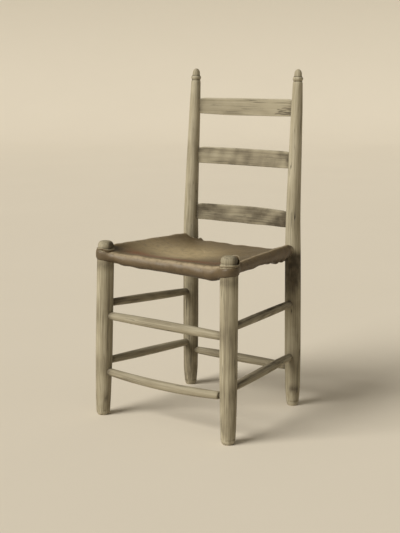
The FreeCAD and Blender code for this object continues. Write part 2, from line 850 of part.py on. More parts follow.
def roll(name, inward):
    """The hide round one rail: over its outer side, under it, and a flap back inwards below."""
    start, end = line_ends(axes[name])
    along = (end - start).normalize()
    up = Vector(0, 0, 1)
    inward = (inward - along * inward.dot(along)).normalize()
    inner = rail_radii[name] + roll_clear
    outer = inner + thick
    flap = cell("flap_length").value

    def at(radius, degrees):
        turn = math.radians(degrees)
        return start + inward * (radius * math.cos(turn)) + up * (radius * math.sin(turn))

    top = 68
    bottom = 270
    below_in = start + inward * flap - up * inner
    below_out = start + inward * flap - up * outer
    edges = [
        Part.Arc(at(outer, top), at(outer, 180), at(outer, bottom)).toShape(),
        Part.LineSegment(at(outer, bottom), below_out).toShape(),
        Part.LineSegment(below_out, below_in).toShape(),
        Part.LineSegment(below_in, at(inner, bottom)).toShape(),
        Part.Arc(at(inner, bottom), at(inner, 180), at(inner, top)).toShape(),
        Part.LineSegment(at(inner, top), at(outer, top)).toShape(),
    ]
    return Part.Face(Part.Wire(edges)).extrude(end - start)


def tube(low, high, inner, outer):
    """A round tube between two points."""
    along = high - low
    wall = Part.makeCylinder(outer, along.Length, low, along)
    return wall.cut(Part.makeCylinder(inner, along.Length, low, along))


def collar(side):
    """The hide wrapped round the outside of a front post, below its button."""
    low = point_of(front_point(side, cell("collar_bottom")))
    high = point_of(front_point(side, cell("collar_top")))
    inner = cell("front_post_diameter").value / 2 + roll_clear
    return tube(low, high, inner, inner + thick)


def rod(low, high, radius):
    """The space that a post or rail takes out of the hide, between two points on its axis."""
    along = high - low
    return Part.makeCylinder(radius + clear, along.Length, low, along)


def hide_shape():
    """The panel, the four rolls and the two collars in one, less the room for posts and rails."""
    inside = {
        "front_seat_rail": Vector(0, 1, 0),
        "rear_seat_rail": Vector(0, -1, 0),
        "left_seat_rail": Vector(1, 0, 0),
        "right_seat_rail": Vector(-1, 0, 0),
    }
    # Tall enough to pass through the rolls above and below the rails.
    hole_reach = cell("front_rail_diameter").value * 2
    posts = []
    for side in (LEFT, RIGHT):
        low = point_of(front_point(side, cell("front_rail_height") - hole_reach))
        high = point_of(front_point(side, cell("front_rail_height") + hole_reach))
        posts.append(rod(low, high, cell("front_post_diameter").value / 2))
        low = point_of(rear_point(side, cell("rear_rail_height") - hole_reach))
        high = point_of(rear_point(side, cell("rear_rail_height") + hole_reach))
        posts.append(rod(low, high, cell("rear_post_diameter").value / 2))
    rails = [rod(*line_ends(axes[name]), radius) for name, radius in rail_radii.items()]
    whole = seat_panel()
    for name, inward in inside.items():
        whole = whole.fuse(roll(name, inward))
    for side in (LEFT, RIGHT):
        whole = whole.fuse(collar(side))
    for space in rails + posts:
        whole = whole.cut(space)
    return max(whole.Solids, key=lambda solid: solid.Volume)


hide = doc.addObject("Part::Feature", "hide_seat")
hide.Shape = hide_shape()
pieces["hide_seat"] = hide


# Lacing: flat thongs that run under the flaps, from one to the opposite one and back

def thong(start, end):
    """A straight flat strip between two points, with its width level."""
    along = end - start
    sideways = along.cross(Vector(0, 0, 1)).normalize() * cell("thong_width").value
    down = sideways.cross(along).normalize() * cell("thong_thickness").value
    if down.z > 0:
        down = down * -1
    corner = start - sideways / 2
    face = Part.Face(Part.makePolygon([corner, corner + sideways, corner + sideways + down,
                                       corner + down, corner]))
    return face.extrude(along)


# Shares of the rails' length where the lacing starts and ends, and the share of a thong's width by
# which two strips that meet at a flap stay apart.
LONG_LACING = (0.16, 0.84)
CROSS_LACING = (0.2, 0.8)
SHARED_SLIT = 0.7


def lacing(first, second, first_inward, second_inward, count, ends):
    """A zigzag of thongs between the flaps of two rails."""
    flap = cell("flap_length").value
    lap = cell("thong_lap").value
    drop = thick + cell("thong_clearance").value
    low, high = ends
    stops = []
    for number in range(count + 1):
        share = low + (high - low) * number / count
        name, inward = (first, first_inward) if number % 2 == 0 else (second, second_inward)
        start, end = line_ends(axes[name])
        under = start + (end - start) * share - Vector(0, 0, rail_radii[name] + drop)
        stops.append(under + inward * (flap - lap))
    width = cell("thong_width").value
    strips = []
    for here, there in zip(stops, stops[1:]):
        shift = (there - here).normalize() * (width * SHARED_SLIT)
        strips.append(thong(here + shift, there - shift))
    return Part.makeCompound(strips)


long_lacing = doc.addObject("Part::Feature", "front_to_back_lacing")
long_lacing.Shape = lacing("front_seat_rail", "rear_seat_rail", Vector(0, 1, 0), Vector(0, -1, 0),
                           int(cell("long_thong_count").value), LONG_LACING)
pieces["front_to_back_lacing"] = long_lacing
cross_lacing = doc.addObject("Part::Feature", "side_to_side_lacing")
cross_lacing.Shape = lacing("left_seat_rail", "right_seat_rail", Vector(1, 0, 0), Vector(-1, 0, 0),
                            int(cell("cross_thong_count").value), CROSS_LACING)
pieces["side_to_side_lacing"] = cross_lacing

doc.recompute()


# Check every object, then write each piece

for thing in doc.Objects:
    if "Invalid" in thing.State or "Error" in thing.State:
        raise RuntimeError(f"{thing.Name} failed: {thing.State}")

os.makedirs("parts", exist_ok=True)
for name, piece in pieces.items():
    piece.Label = name
    shape = piece.Shape
    if shape.isNull() or not shape.isValid() or not shape.Solids:
        raise RuntimeError(f"{name} has no valid solid")
    shape.exportStep(f"parts/{name}.step")
    print(name, len(shape.Solids), round(shape.Volume / 1000, 2), "cm3")
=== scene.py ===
"""Looks of a ladderback chair: turned posts, shaved rungs, three bent slats and a laced hide seat."""

import bmesh
import bpy
import numpy as np
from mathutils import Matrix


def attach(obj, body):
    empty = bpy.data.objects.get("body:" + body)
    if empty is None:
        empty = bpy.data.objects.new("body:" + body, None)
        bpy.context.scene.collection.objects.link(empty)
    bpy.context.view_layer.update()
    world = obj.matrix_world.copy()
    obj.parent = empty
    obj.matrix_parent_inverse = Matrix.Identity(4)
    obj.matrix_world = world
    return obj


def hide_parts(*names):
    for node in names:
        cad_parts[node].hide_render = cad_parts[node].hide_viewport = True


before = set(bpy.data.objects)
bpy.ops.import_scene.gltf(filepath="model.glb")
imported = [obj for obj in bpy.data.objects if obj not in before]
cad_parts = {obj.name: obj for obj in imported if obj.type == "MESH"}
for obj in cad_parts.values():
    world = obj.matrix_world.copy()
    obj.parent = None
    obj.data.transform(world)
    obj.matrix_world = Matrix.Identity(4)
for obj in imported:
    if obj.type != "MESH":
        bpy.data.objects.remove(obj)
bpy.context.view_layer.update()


# Camera. It stands in front of the chair and to the right of it, a little above seat height,
# about as far away as the picture was taken from, and looks slightly down.

camera_data = bpy.data.cameras.new("camera")
camera_data.sensor_width = 36.0
camera_data.lens = 73.248
camera = bpy.data.objects.new("camera", camera_data)
camera.location = (1.630853, -2.327015, 0.941522)
camera.rotation_euler = np.radians((90 - 10.849932, 0, 35.31389))
bpy.context.scene.collection.objects.link(camera)
bpy.context.scene.camera = camera
bpy.context.scene.view_settings.view_transform = "Standard"


# Room: a pale floor that curves up into a pale wall, lit by one broad lamp high on the left and by
# an even sky. None of it is part of the chair.

class Wire:
    """A value on its way through a finish. Arithmetic on wires adds the nodes that work it out."""

    def __init__(self, tree, socket):
        self.tree = tree
        self.socket = socket

    def maths(self, operation, *others, clamp=False):
        node = self.tree.nodes.new("ShaderNodeMath")
        node.operation = operation
        node.use_clamp = clamp
        for slot, value in zip(node.inputs, others):
            if isinstance(value, Wire):
                self.tree.links.new(value.socket, slot)
            else:
                slot.default_value = value
        return Wire(self.tree, node.outputs[0])

    def __add__(self, other):
        return self.maths("ADD", self, other)

    def __sub__(self, other):
        return self.maths("SUBTRACT", self, other)

    def __rsub__(self, other):
        return self.maths("SUBTRACT", other, self)

    def __mul__(self, other):
        return self.maths("MULTIPLY", self, other)

    __radd__ = __add__
    __rmul__ = __mul__

    def distance(self, other):
        return self.maths("ABSOLUTE", self - other)

    def step(self, low, high):
        """0 below low and 1 above high, with a straight climb between."""
        return self.maths("MULTIPLY", self - low, 1 / (high - low), clamp=True)


class Finish:
    """A material under construction, with one shader."""

    def __init__(self, name):
        self.material = bpy.data.materials.new(name)
        self.material.use_nodes = True
        self.tree = self.material.node_tree
        self.shader = self.tree.nodes["Principled BSDF"]

    def node(self, kind, settings, values, output=0):
        """Adds a node: first its settings, then its sockets' values or links, by name or number."""
        node = self.tree.nodes.new(f"ShaderNode{kind}")
        for key, value in settings.items():
            setattr(node, key, value)
        for key, value in values.items():
            self.feed(node.inputs[key], value)
        return Wire(self.tree, node.outputs[output])

    def feed(self, slot, value):
        if isinstance(value, Wire):
            self.tree.links.new(value.socket, slot)
        else:
            slot.default_value = value

    def set(self, **values):
        """Feeds the shader's own sockets, named with underscores for spaces."""
        for key, value in values.items():
            self.feed(self.shader.inputs[key.replace("_", " ")], value)

    def attribute(self, name):
        """A vector stored on the mesh's points."""
        return self.node("Attribute", {"attribute_name": name}, {}, output="Vector")

    def place(self):
        """A point's place in the chair, in metres."""
        return self.node("TexCoord", {}, {}, output="Object")

    def parts(self, vector):
        """The three numbers of a vector."""
        first = self.node("SeparateXYZ", {}, {"Vector": vector})
        return [Wire(self.tree, socket) for socket in first.socket.node.outputs]

    def noise(self, vector, scale, detail=3.0, roughness=0.5, distortion=0.0):
        """Soft noise of one scale, or of three that stretch it along the axes."""
        if isinstance(scale, tuple):
            vector = self.node("VectorMath", {"operation": "MULTIPLY"}, {0: vector, 1: scale})
            scale = 1.0
        values = {"Vector": vector, "Scale": scale, "Detail": detail, "Roughness": roughness,
                  "Distortion": distortion}
        return self.node("TexNoise", {}, values)

    def cells(self, vector, scale):
        return self.node("TexVoronoi", {}, {"Vector": vector, "Scale": scale})

    def mix(self, share, first, second):
        """Blends two colours by a share from 0 to 1."""
        return self.node("Mix", {"data_type": "RGBA"}, {0: share, 6: first, 7: second}, output=2)

    def bump(self, height, depth, strength):
        return self.node("Bump", {}, {"Height": height, "Distance": depth, "Strength": strength})


def grid_mesh(name, points, wrap=False, loop=False, skip=None, first=None, last=None, extras=None):
    """A mesh through a grid of points: rows of points, each joined to the next row.

    Wrap joins each row's last point to its first, and loop the last row to the first one. Skip
    says which cells of the grid stay open. First and last close the two ends with a fan round one
    point. Extras are further values for each point, stored by name.
    """
    rows, columns, _ = points.shape
    numbers = np.arange(rows * columns).reshape(rows, columns)
    here, above = numbers, np.roll(numbers, -1, axis=0)
    if not loop:
        here, above = here[:-1], above[:-1]
    cells = np.stack([here, np.roll(here, -1, axis=1), np.roll(above, -1, axis=1), above], axis=-1)
    if not wrap:
        cells = cells[:, :-1]
    if skip is not None:
        cells = cells[~skip]
    faces = cells.reshape(-1, 4).tolist()
    vertices = points.reshape(-1, 3)
    values = {key: value.reshape(-1, 3) for key, value in (extras or {}).items()}
    for tip, row, order in ((first, 0, [1, 0, 2]), (last, -1, [0, 1, 2])):
        if tip is None:
            continue
        edge = numbers[row]
        fan = np.stack([edge, np.roll(edge, -1), np.full(columns, len(vertices))], axis=-1)
        faces += fan[:, order].tolist()
        vertices = np.concatenate([vertices, np.array([tip], float)])
        values = {key: np.concatenate([value, value[edge].mean(axis=0)[None]])
                  for key, value in values.items()}
    used, renumbered = np.unique(np.concatenate([np.ravel(face) for face in faces]),
                                 return_inverse=True)
    lengths = np.cumsum([len(face) for face in faces])[:-1]
    mesh = bpy.data.meshes.new(name)
    mesh.from_pydata(vertices[used].tolist(), [],
                     [part.tolist() for part in np.split(renumbered, lengths)])
    for key, value in values.items():
        stored = mesh.attributes.new(key, "FLOAT_VECTOR", "POINT")
        stored.data.foreach_set("vector", value[used].astype(np.float32).ravel())
    mesh.shade_smooth()
    thing = bpy.data.objects.new(name, mesh)
    bpy.context.scene.collection.objects.link(thing)
    return thing


room_finish = Finish("pale_room")
cloud = room_finish.noise(room_finish.place(), 1.3, detail=2.0)
floor_colour = room_finish.mix(cloud, (0.725, 0.665, 0.565, 1), (0.75, 0.69, 0.588, 1))
# The wall faces the lamp, so it is a little darker than the floor.
up_wall = room_finish.parts(room_finish.place())[2].step(0.0, 2.2)
room_finish.set(Base_Color=room_finish.mix(up_wall, floor_colour, (0.595, 0.545, 0.455, 1)),
                Roughness=0.9, Specular_IOR_Level=0.1)

# The floor runs back flat, then round a quarter circle, then straight up.
room_back = 9.0
room_bend = 5.0
turn = np.linspace(0, np.pi / 2, 25)
profile = np.concatenate([
    [[-12.0, 0.0]],
    np.stack([room_back + room_bend * np.sin(turn), room_bend * (1 - np.cos(turn))], axis=1),
    [[room_back + room_bend, 12.0]],
])
room_width = np.linspace(-18, 18, 13)
across, along = np.meshgrid(room_width, profile[:, 0])
height = np.repeat(profile[:, 1][:, None], room_width.size, axis=1)
# The room is turned so that its wall faces the camera.
facing = np.radians(35.3)
room_points = np.stack([across * np.cos(facing) - along * np.sin(facing),
                        across * np.sin(facing) + along * np.cos(facing), height], axis=-1)
room = grid_mesh("room", room_points)
room.data.materials.append(room_finish.material)

# The lamp's broad disc softens the shadows. It is turned from its place towards the seat.
lamp_data = bpy.data.lights.new("key_lamp", "SUN")
lamp_data.energy = 3.3
lamp_data.angle = np.radians(34)
lamp_data.color = (1.0, 0.97, 0.90)
lamp = bpy.data.objects.new("key_lamp", lamp_data)
lamp.location = (-1.35, -2.75, 2.5)
lamp_way = np.array((-1.35, -2.75, 2.5)) - np.array((0, 0, 0.3))
lamp.rotation_euler = (np.arctan2(np.hypot(lamp_way[0], lamp_way[1]), lamp_way[2]), 0,
                       np.arctan2(lamp_way[0], -lamp_way[1]))
bpy.context.scene.collection.objects.link(lamp)
sky = bpy.data.worlds.new("sky")
sky.use_nodes = True
sky.node_tree.nodes["Background"].inputs["Color"].default_value = (1.0, 0.93, 0.79, 1)
sky.node_tree.nodes["Background"].inputs["Strength"].default_value = 0.24
bpy.context.scene.world = sky


# Posts. Four posts of a pale hardwood, never painted, which has weathered to grey-green. The front
# ones are turned with a foot, a swell and a round button on top. The rear ones taper upwards, bend
# back above the seat and end in a small turned finial.

def weathered_wood(name, dark, middle, light, streak=1.0):
    """Bare wood with dark lines along its grain, the third axis of the stored "grain" place.

    The stored "marks" are how dark a point is (dirt, and painted shade on the posts and on a loose
    rung's shoulder), how rubbed it is, and how stained (real stains, and that shoulder's painted shade).
    """
    finish = Finish(name)
    grain = finish.attribute("grain")
    dirt_and_shade, rubbed, stain_and_shade = finish.parts(finish.attribute("marks"))
    fine = finish.noise(grain, (900, 900, 14), detail=2.0)
    lines = finish.noise(grain, (300, 300, 6), detail=3.0, distortion=0.4)
    bands = finish.noise(grain, (70, 70, 2.2), detail=2.0)
    clouds = finish.noise(grain, (26, 26, 11), detail=3.0)
    cracks = 1 - finish.noise(grain, (150, 150, 3.2), detail=1.0).distance(0.5).step(0.004, 0.014)
    cracks = cracks * finish.noise(grain, (40, 40, 9), detail=1.0).step(0.52, 0.62)
    tone = fine * 0.42 + lines * 0.55 + bands * 0.28 + clouds * 0.34 - 0.295
    plain = (1 - rubbed * 1.3).step(0.0, 1.0)
    tone = (tone - 0.5) * (1.9 * streak) * (plain * 0.7 + 0.3) + 0.5
    shade = (tone + rubbed * 0.35 - dirt_and_shade * 0.5).step(0.0, 1.0)
    low_colour = finish.mix(shade.step(0.0, 0.5), dark, middle)
    colour = finish.mix(shade.step(0.5, 1.0), low_colour, light)
    colour = finish.mix(cracks * (0.75 * streak), colour, (0.035, 0.026, 0.017, 1))
    # Stains darken the wood in brown spots; a loose rung's shoulder face gets its painted shade here
    # too.
    spots = finish.noise(grain, (60, 60, 40), detail=4.0).step(0.50, 0.62)
    colour = finish.mix(stain_and_shade * (spots * 0.5 + 0.5), colour, (0.055, 0.036, 0.02, 1))
    # Dirt, and the painted shade below the seat and beside the buttons, darken the wood in mottled
    # patches.
    mottle = finish.noise(grain, (75, 75, 60), detail=5.0, roughness=0.6)
    colour = finish.mix(dirt_and_shade * (mottle.step(0.38, 0.60) * 0.6 + 0.3), colour, (0.045, 0.034, 0.019, 1))
    relief = (lines * 0.5 + fine * 0.35) * (plain * 0.8 + 0.2) - cracks * 1.6
    finish.set(Base_Color=colour, Roughness=0.62 + fine * 0.25 - rubbed * 0.15,
               Specular_IOR_Level=0.35, Normal=finish.bump(relief, 0.0006, 0.9))
    return finish.material


post_wood = weathered_wood("post_wood", (0.115, 0.090, 0.056, 1), (0.345, 0.302, 0.208, 1),
                           (0.55, 0.50, 0.375, 1))

LEFT = -1
RIGHT = 1
SIDE_NAMES = {LEFT: "left", RIGHT: "right"}

front_height = 0.472
front_foot_y = -0.190967
front_foot_spread = 0.4058
front_draw_in = 0.0158
front_lean = 0.0137
rear_height = 0.915
rear_foot_y = 0.173333
rear_foot_spread = 0.3478
rear_draw_in = 0.0188
rear_knee_lean = -0.0047
rear_top_lean = 0.0173
bend_height = 0.520
bend_start = 0.450
bend_end = 0.590
bend_length = 0.140


def front_point(side, height):
    """Axis of a front post at a height: a straight line, leaning inwards and back."""
    share = np.asarray(height, float) / front_height
    x = side * (front_foot_spread - front_draw_in * share) / 2
    return np.stack([x, front_foot_y + front_lean * share, share * front_height], axis=-1)


def rear_lean(height):
    """How far back a rear post is: two straight lines with a parabola between them."""
    low = rear_knee_lean / bend_height
    high = (rear_top_lean - rear_knee_lean) / (rear_height - bend_height)
    share = np.clip((height - bend_start) / bend_length, 0, 1)
    beyond = np.maximum(height - bend_end, 0)
    return low * height + (high - low) * (bend_length / 2 * share ** 2 + beyond)


def rear_point(side, height):
    """Axis of a rear post at a height: it leans inwards, and back above the seat."""
    height = np.asarray(height, float)
    x = side * (rear_foot_spread - rear_draw_in * height / rear_height) / 2
    return np.stack([x, rear_foot_y + rear_lean(height), height], axis=-1)


def ripple(seed, *places):
    """Soft unevenness from about -1 to 1: a sum of seven sine waves in random directions."""
    random = np.random.default_rng(seed)
    total = 0
    for _ in range(7):
        phase = random.uniform(0, 2 * np.pi)
        for place in places:
            phase = phase + place * random.normal()
        total = total + np.sin(phase)
    return total / np.sqrt(7)


def turned_piece(name, path, radius, seed, columns, uneven=0.008, marks=None):
    """A round piece: a circle of the given radius at each point of a path, square to it.

    Each circle is a little out of round: its radius is radius * (1 + uneven * ripple), where the
    ripple turns with the angle and changes slowly along the piece.
    """
    path = np.asarray(path, float)
    along = np.gradient(path, axis=0)
    along /= np.linalg.norm(along, axis=1)[:, None]
    up = (0, 0, 1) if abs(along[0, 2]) < 0.7 else (0, 1, 0)
    side = np.cross(along, np.broadcast_to(up, along.shape))
    side /= np.linalg.norm(side, axis=1)[:, None]
    other = np.cross(along, side)
    travelled = np.concatenate([[0], np.cumsum(np.linalg.norm(np.diff(path, axis=0), axis=1))])
    angle = np.linspace(0, 2 * np.pi, columns, endpoint=False)
    turn, distance = np.meshgrid(angle, travelled)
    wobble = ripple(seed, 2 * np.cos(turn), 2 * np.sin(turn), distance * 9)
    wobble = wobble + 0.35 * ripple(seed + 1, 5 * np.cos(turn), 5 * np.sin(turn), distance * 30)
    reach = np.asarray(radius)[:, None] * (1 + uneven * wobble)
    points = (path[:, None] + side[:, None] * (reach * np.cos(turn))[..., None]
              + other[:, None] * (reach * np.sin(turn))[..., None])
    offset = np.random.default_rng(seed + 5).uniform(0, 3, 3)
    grain = np.stack([reach * np.cos(turn), reach * np.sin(turn), distance], axis=-1) + offset
    shown = np.zeros(points.shape) if marks is None else marks(points, turn, distance)
    return grid_mesh(name, points, wrap=True, first=path[0], last=path[-1],
                     extras={"grain": grain, "marks": np.clip(shown, 0, 1)})


def smooth_line(place, stops, values):
    """A smooth line through values at stops: straight runs, rounded by a running mean."""
    line = np.interp(place, stops, values)
    window = np.exp(-0.5 * (np.linspace(-2, 2, 9)) ** 2)
    window /= window.sum()
    padded = np.pad(line, 4, mode="edge")
    return np.convolve(padded, window, mode="valid")


def near(distance, width):
    """A soft spot: 1 at distance 0, falling like a bell to nothing at about twice the width."""
    return np.exp(-(distance / width) ** 2)


# Joint heights on each post, where dirt gathers round the rungs.
front_joints = {LEFT: (0.1204, 0.2731, 0.1462, 0.3042), RIGHT: (0.1191, 0.2701, 0.1378, 0.2916)}
rear_joints = {LEFT: (0.1052, 0.1292, 0.2801), RIGHT: (0.1075, 0.1408, 0.2888)}


def post_marks(side, joints, seed, stained, shade_from=None):
    """Wear: a dark line and brown spots at the worn foot, dirt at each joint, painted shade below the
    seat.

    Stained is how brown a patch 50 mm up is. For a rear post, the last argument gives where the
    deep painted shade below the seat starts.
    """
    def marks(points, turn, distance):
        height = points[..., 2]
        patch = ripple(seed, 3 * np.cos(turn), 3 * np.sin(turn), height * 28)
        spots = ripple(seed + 1, 7 * np.cos(turn), 7 * np.sin(turn), height * 220)
        dirt_and_shade = 0.4 * near(height - 0.0132 - 0.0008 * patch, 0.0016) * np.clip(0.4 + patch, 0, 1)
        for joint in joints:
            dirt_and_shade = dirt_and_shade + 0.13 * near(height - joint, 0.020) * (1 + 0.4 * patch)
        # Painted shade: a dark band on every post just under the seat's edge.
        dirt_and_shade = dirt_and_shade + 0.40 * near(height - 0.412, 0.016)
        rubbed = 0.5 * near(height - 0.004, 0.011) + 0.22 * np.clip(patch, 0, 1)
        stain_and_shade = np.clip(0.25 * patch - 0.14, 0, 1) + 0.55 * near(height - 0.006, 0.010) * (spots > 0.35)
        stain_and_shade = stain_and_shade + stained * near(height - 0.050, 0.013) * np.clip(0.5 + patch, 0, 1)
        if shade_from is None:
            # The button: dirty, most of all in the lathe's groove, and darker with painted shade on its
            # right and rear side, where the hide's lip stands behind it.
            button = np.clip((height - 0.4515) / 0.002, 0, 1)
            outwards, back = points[..., 0] - side * 0.1955, points[..., 1] + 0.1775
            button_shade_side = np.clip((outwards * 0.9 + back * 0.44) / 0.0208 - 0.45, 0, 0.35) / 0.35
            dirt_and_shade = dirt_and_shade + button * (0.2 + 0.35 * near(height - button_groove, 0.0007) + 0.6 * button_shade_side)
            rubbed = rubbed + 0.25 * button
        else:
            # Below the seat the post is darkened with painted shade, deepest on the right post, and
            # hands keep the upright pale above it. The finial has dirt in a groove on either side of its
            # ring.
            under_seat_shade = np.clip((height - shade_from) / 0.06, 0, 1) * np.clip((0.44 - height) / 0.03, 0, 1)
            below_seat_shade = np.clip((0.48 - height) / 0.05, 0, 1)
            thick, thin = (0.95, 0) if side == RIGHT else (0.6, 0.26)
            dirt_and_shade = dirt_and_shade + thick * under_seat_shade * (1 + 0.2 * patch) + thin * below_seat_shade
            for groove, width in ((0.8835, 0.0012), (0.8957, 0.0011)):
                dirt_and_shade = dirt_and_shade + 0.8 * near(height - groove, width)
            rubbed = rubbed + 0.28 * np.clip((height - 0.50) / 0.08, 0, 1)
        return np.stack([dirt_and_shade, rubbed, stain_and_shade], axis=-1)
    return marks


def fit(piece, finish, plain_solid):
    """Finishes a piece, fixes it to the chair and lets it take the place of a plain solid."""
    piece.data.materials.append(finish)
    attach(piece, "root")
    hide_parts(plain_solid)


# Half widths along a front post, as it leaves the lathe. The rows crowd together at the button.
button_groove = 0.4548
front_rows = np.concatenate([
    np.linspace(0, 0.012, 13), np.linspace(0.014, 0.440, 190), np.linspace(0.442, 0.4489, 6),
    np.linspace(0.4492, 0.4515, 5), np.linspace(0.4522, 0.4595, 16)])
front_radius = smooth_line(
    front_rows,
    (0, 0.0012, 0.004, 0.008, 0.014, 0.050, 0.170, 0.4495, 0.4512, 0.457, 0.460),
    (0.0135, 0.0154, 0.0170, 0.0182, 0.01875, 0.02025, 0.0225, 0.0225, 0.0199, 0.02075, 0.02075))
front_radius = front_radius - 0.0005 * near(front_rows - button_groove, 0.0007)
# The button's edge is rounded to 12 mm, and its top is slightly domed.
round_off = np.linspace(0, np.pi / 2, 12)
button_corner = 0.012
button_rows = 0.4602 + button_corner * np.sin(round_off)
button_radius = 0.00875 + button_corner * np.cos(round_off)
dome = np.linspace(0.0080, 0.001, 7)
front_rows = np.concatenate([front_rows, button_rows, 0.4722 + 0.0003 * (1 - (dome / 0.009) ** 2)])
front_radius = np.concatenate([front_radius, button_radius, dome])

for side in (LEFT, RIGHT):
    name = f"front_post_{SIDE_NAMES[side]}_turned"
    post = turned_piece(name, front_point(side, front_rows), front_radius, 11 + side, columns=128,
                        marks=post_marks(side, front_joints[side], 21 + side,
                                         0.5 if side == LEFT else 0.1))
    fit(post, post_wood, f"front_post_{SIDE_NAMES[side]}")

# Half widths up a rear post, then its finial: a neck, a ring and a rounded tip.
rear_rows = np.concatenate([np.linspace(0, 0.012, 13), np.linspace(0.014, 0.877, 330)])
rear_radius = smooth_line(
    rear_rows,
    (0, 0.0015, 0.004, 0.008, 0.014, 0.048, 0.150, 0.300, 0.438, 0.5164, 0.6753, 0.8131, 0.879),
    (0.0132, 0.0144, 0.0155, 0.0167, 0.0175, 0.02025, 0.02175, 0.02175, 0.02125, 0.0196, 0.0173,
     0.0151, 0.013))
finial_stops = np.array([
    (0.0, 0.0130), (0.0012, 0.0124), (0.0025, 0.0118), (0.005, 0.0117), (0.0066, 0.0125),
    (0.0082, 0.0134), (0.0100, 0.0139), (0.0122, 0.0137), (0.0142, 0.0126), (0.0156, 0.0112),
    (0.0172, 0.0105), (0.0195, 0.0103), (0.0240, 0.0101), (0.0275, 0.0094), (0.0305, 0.0080),
    (0.0330, 0.0060), (0.0345, 0.0040), (0.0354, 0.0020)])
finial_foot = 0.879
finial_rows = np.linspace(0.0005, 0.0354, 48)
rear_radius = np.concatenate([rear_radius, np.interp(finial_rows, *finial_stops.T)])
rear_rows = np.concatenate([rear_rows, finial_foot + finial_rows])

for side in (LEFT, RIGHT):
    name = f"rear_post_{SIDE_NAMES[side]}_turned"
    stained, shade_from = (0.6, 0.30) if side == RIGHT else (0.2, 0.36)
    post = turned_piece(name, rear_point(side, rear_rows), rear_radius, 31 + side, columns=112,
                        marks=post_marks(side, rear_joints[side], 41 + side, stained, shade_from))
    fit(post, post_wood, f"rear_post_{SIDE_NAMES[side]}")


# Rungs. Seven rungs join the posts, shaved from split wood to a slight barrel, with a shoulder
# that sits in a shallow mouth and a thinner tenon beyond it. Two are a little bowed.

rung_wood = weathered_wood("rung_wood", (0.125, 0.098, 0.062, 1), (0.31, 0.27, 0.188, 1),
                           (0.49, 0.445, 0.335, 1), streak=0.8)


def rung(name, start, end, shoulders, tip, end_radius, middle_radius, tenon, sag, grime, seed,
         finish):
    """A barrel between two shoulders: its radius and its sag follow 4 s (1 - s) along it.

    Shoulders are the setbacks from the posts' axes, tip that of both tenons' ends, and tenon the
    two tenons' radii. Grime is how dark and mottled the wood is. A shoulder that stands clear of
    its post has a dark face: painted shade.
    """
    length = np.linalg.norm(end - start)
    low, high = shoulders[0], length - shoulders[1]
    loose = shoulders[1] > 0.025
    body = np.linspace(low, high, 150)
    share = (body - low) / (high - low)
    hump = 4 * share * (1 - share)
    rounded = 0.0012 * (near(body - low, 0.0016) + near(body - high, 0.0016))
    body_radius = end_radius + (middle_radius - end_radius) * hump - rounded
    face = high + np.array((0.0002, 0.0003))
    rows = np.concatenate([[tip, low - 0.0002], body, face, [high + 0.0006, length - tip]])
    radius = np.concatenate([[tenon[0], tenon[0]], body_radius,
                             [end_radius - 0.0016, tenon[1] + 0.0003, tenon[1], tenon[1]]])
    drop = np.concatenate([[0, 0], sag * hump, [0, 0, 0, 0]])
    path = start + (end - start) * (rows / length)[:, None] - np.outer(drop, (0, 0, 1))

    def marks(points, turn, distance):
        patch = ripple(seed + 9, 2 * np.cos(turn), 2 * np.sin(turn), distance * 22)
        mottle = ripple(seed + 19, 5 * np.cos(turn), 5 * np.sin(turn), distance * 60)
        at_ends = near(distance - low, 0.010) + (not loose) * near(distance - high, 0.010)
        # Painted shade: the face of a shoulder that stands clear of its post is made dark.
        clear = (distance > high - 0.0006) & (distance < high + 0.0005) & loose
        dirt_and_shade = 0.45 * at_ends + grime * (0.4 + 0.35 * patch + 0.35 * mottle) + clear
        rubbed = 0.35 * np.clip(np.sin(turn + 0.6), 0, 1) * np.clip(0.5 + patch, 0, 1)
        rubbed = rubbed + 0.8 * (distance > high + 0.0005)
        stain_and_shade = np.clip(0.3 * patch - 0.15, 0, 1) + clear
        return np.stack([dirt_and_shade, rubbed, stain_and_shade], axis=-1)

    piece = turned_piece(name, path, radius, seed, columns=72, uneven=0.014, marks=marks)
    fit(piece, finish, name.replace("_shaved", ""))


front_mouth = 0.0185
rear_mouth = 0.01775
across_front = (front_mouth, front_mouth)
across_rear = (rear_mouth, rear_mouth)
front_to_rear = (front_mouth, rear_mouth)
rung_tip = 0.0015
rung_tenons = (0.0075, 0.0075)
# Each row: name, the two ends, the shoulders' setbacks, middle radius, end radius, sag, the
# tenons' radii, grime. The lower front rung has worked loose at the right: its tenon shows there.
rungs = [
    ("upper_front", front_point(LEFT, 0.2731), front_point(RIGHT, 0.2701), across_front,
     0.01225, 0.01025, -0.0005, rung_tenons, 0.05),
    ("lower_front", front_point(LEFT, 0.1204), front_point(RIGHT, 0.1191), (front_mouth, 0.028),
     0.01175, 0.01025, 0.0075, (0.0075, 0.00625), 0.0),
    ("rear", rear_point(LEFT, 0.1052), rear_point(RIGHT, 0.1075), across_rear,
     0.01225, 0.00975, 0, rung_tenons, 0.15),
    ("left_upper", front_point(LEFT, 0.3042), rear_point(LEFT, 0.2801), front_to_rear,
     0.0114, 0.00975, 0, rung_tenons, 0.48),
    ("left_lower", front_point(LEFT, 0.1462), rear_point(LEFT, 0.1292), front_to_rear,
     0.0115, 0.00975, 0, rung_tenons, 0.27),
    ("right_upper", front_point(RIGHT, 0.2916), rear_point(RIGHT, 0.2888), front_to_rear,
     0.01075, 0.00975, 0, rung_tenons, 0.45),
    ("right_lower", front_point(RIGHT, 0.1378), rear_point(RIGHT, 0.1408), front_to_rear,
     0.0120, 0.00975, 0, rung_tenons, 0.5),
]
for number, (stem, start, end, shoulders, middle, ends, sag, tenon, grime) in enumerate(rungs):
    rung(f"{stem}_rung_shaved", start, end, shoulders, rung_tip, ends, middle, tenon, sag, grime,
         60 + 10 * number, rung_wood)


# Seat rails. Four rails of the same wood hide inside the rolls of the seat and carry it. They are
# shaved and let into the posts as the rungs are, and can only be seen from below.

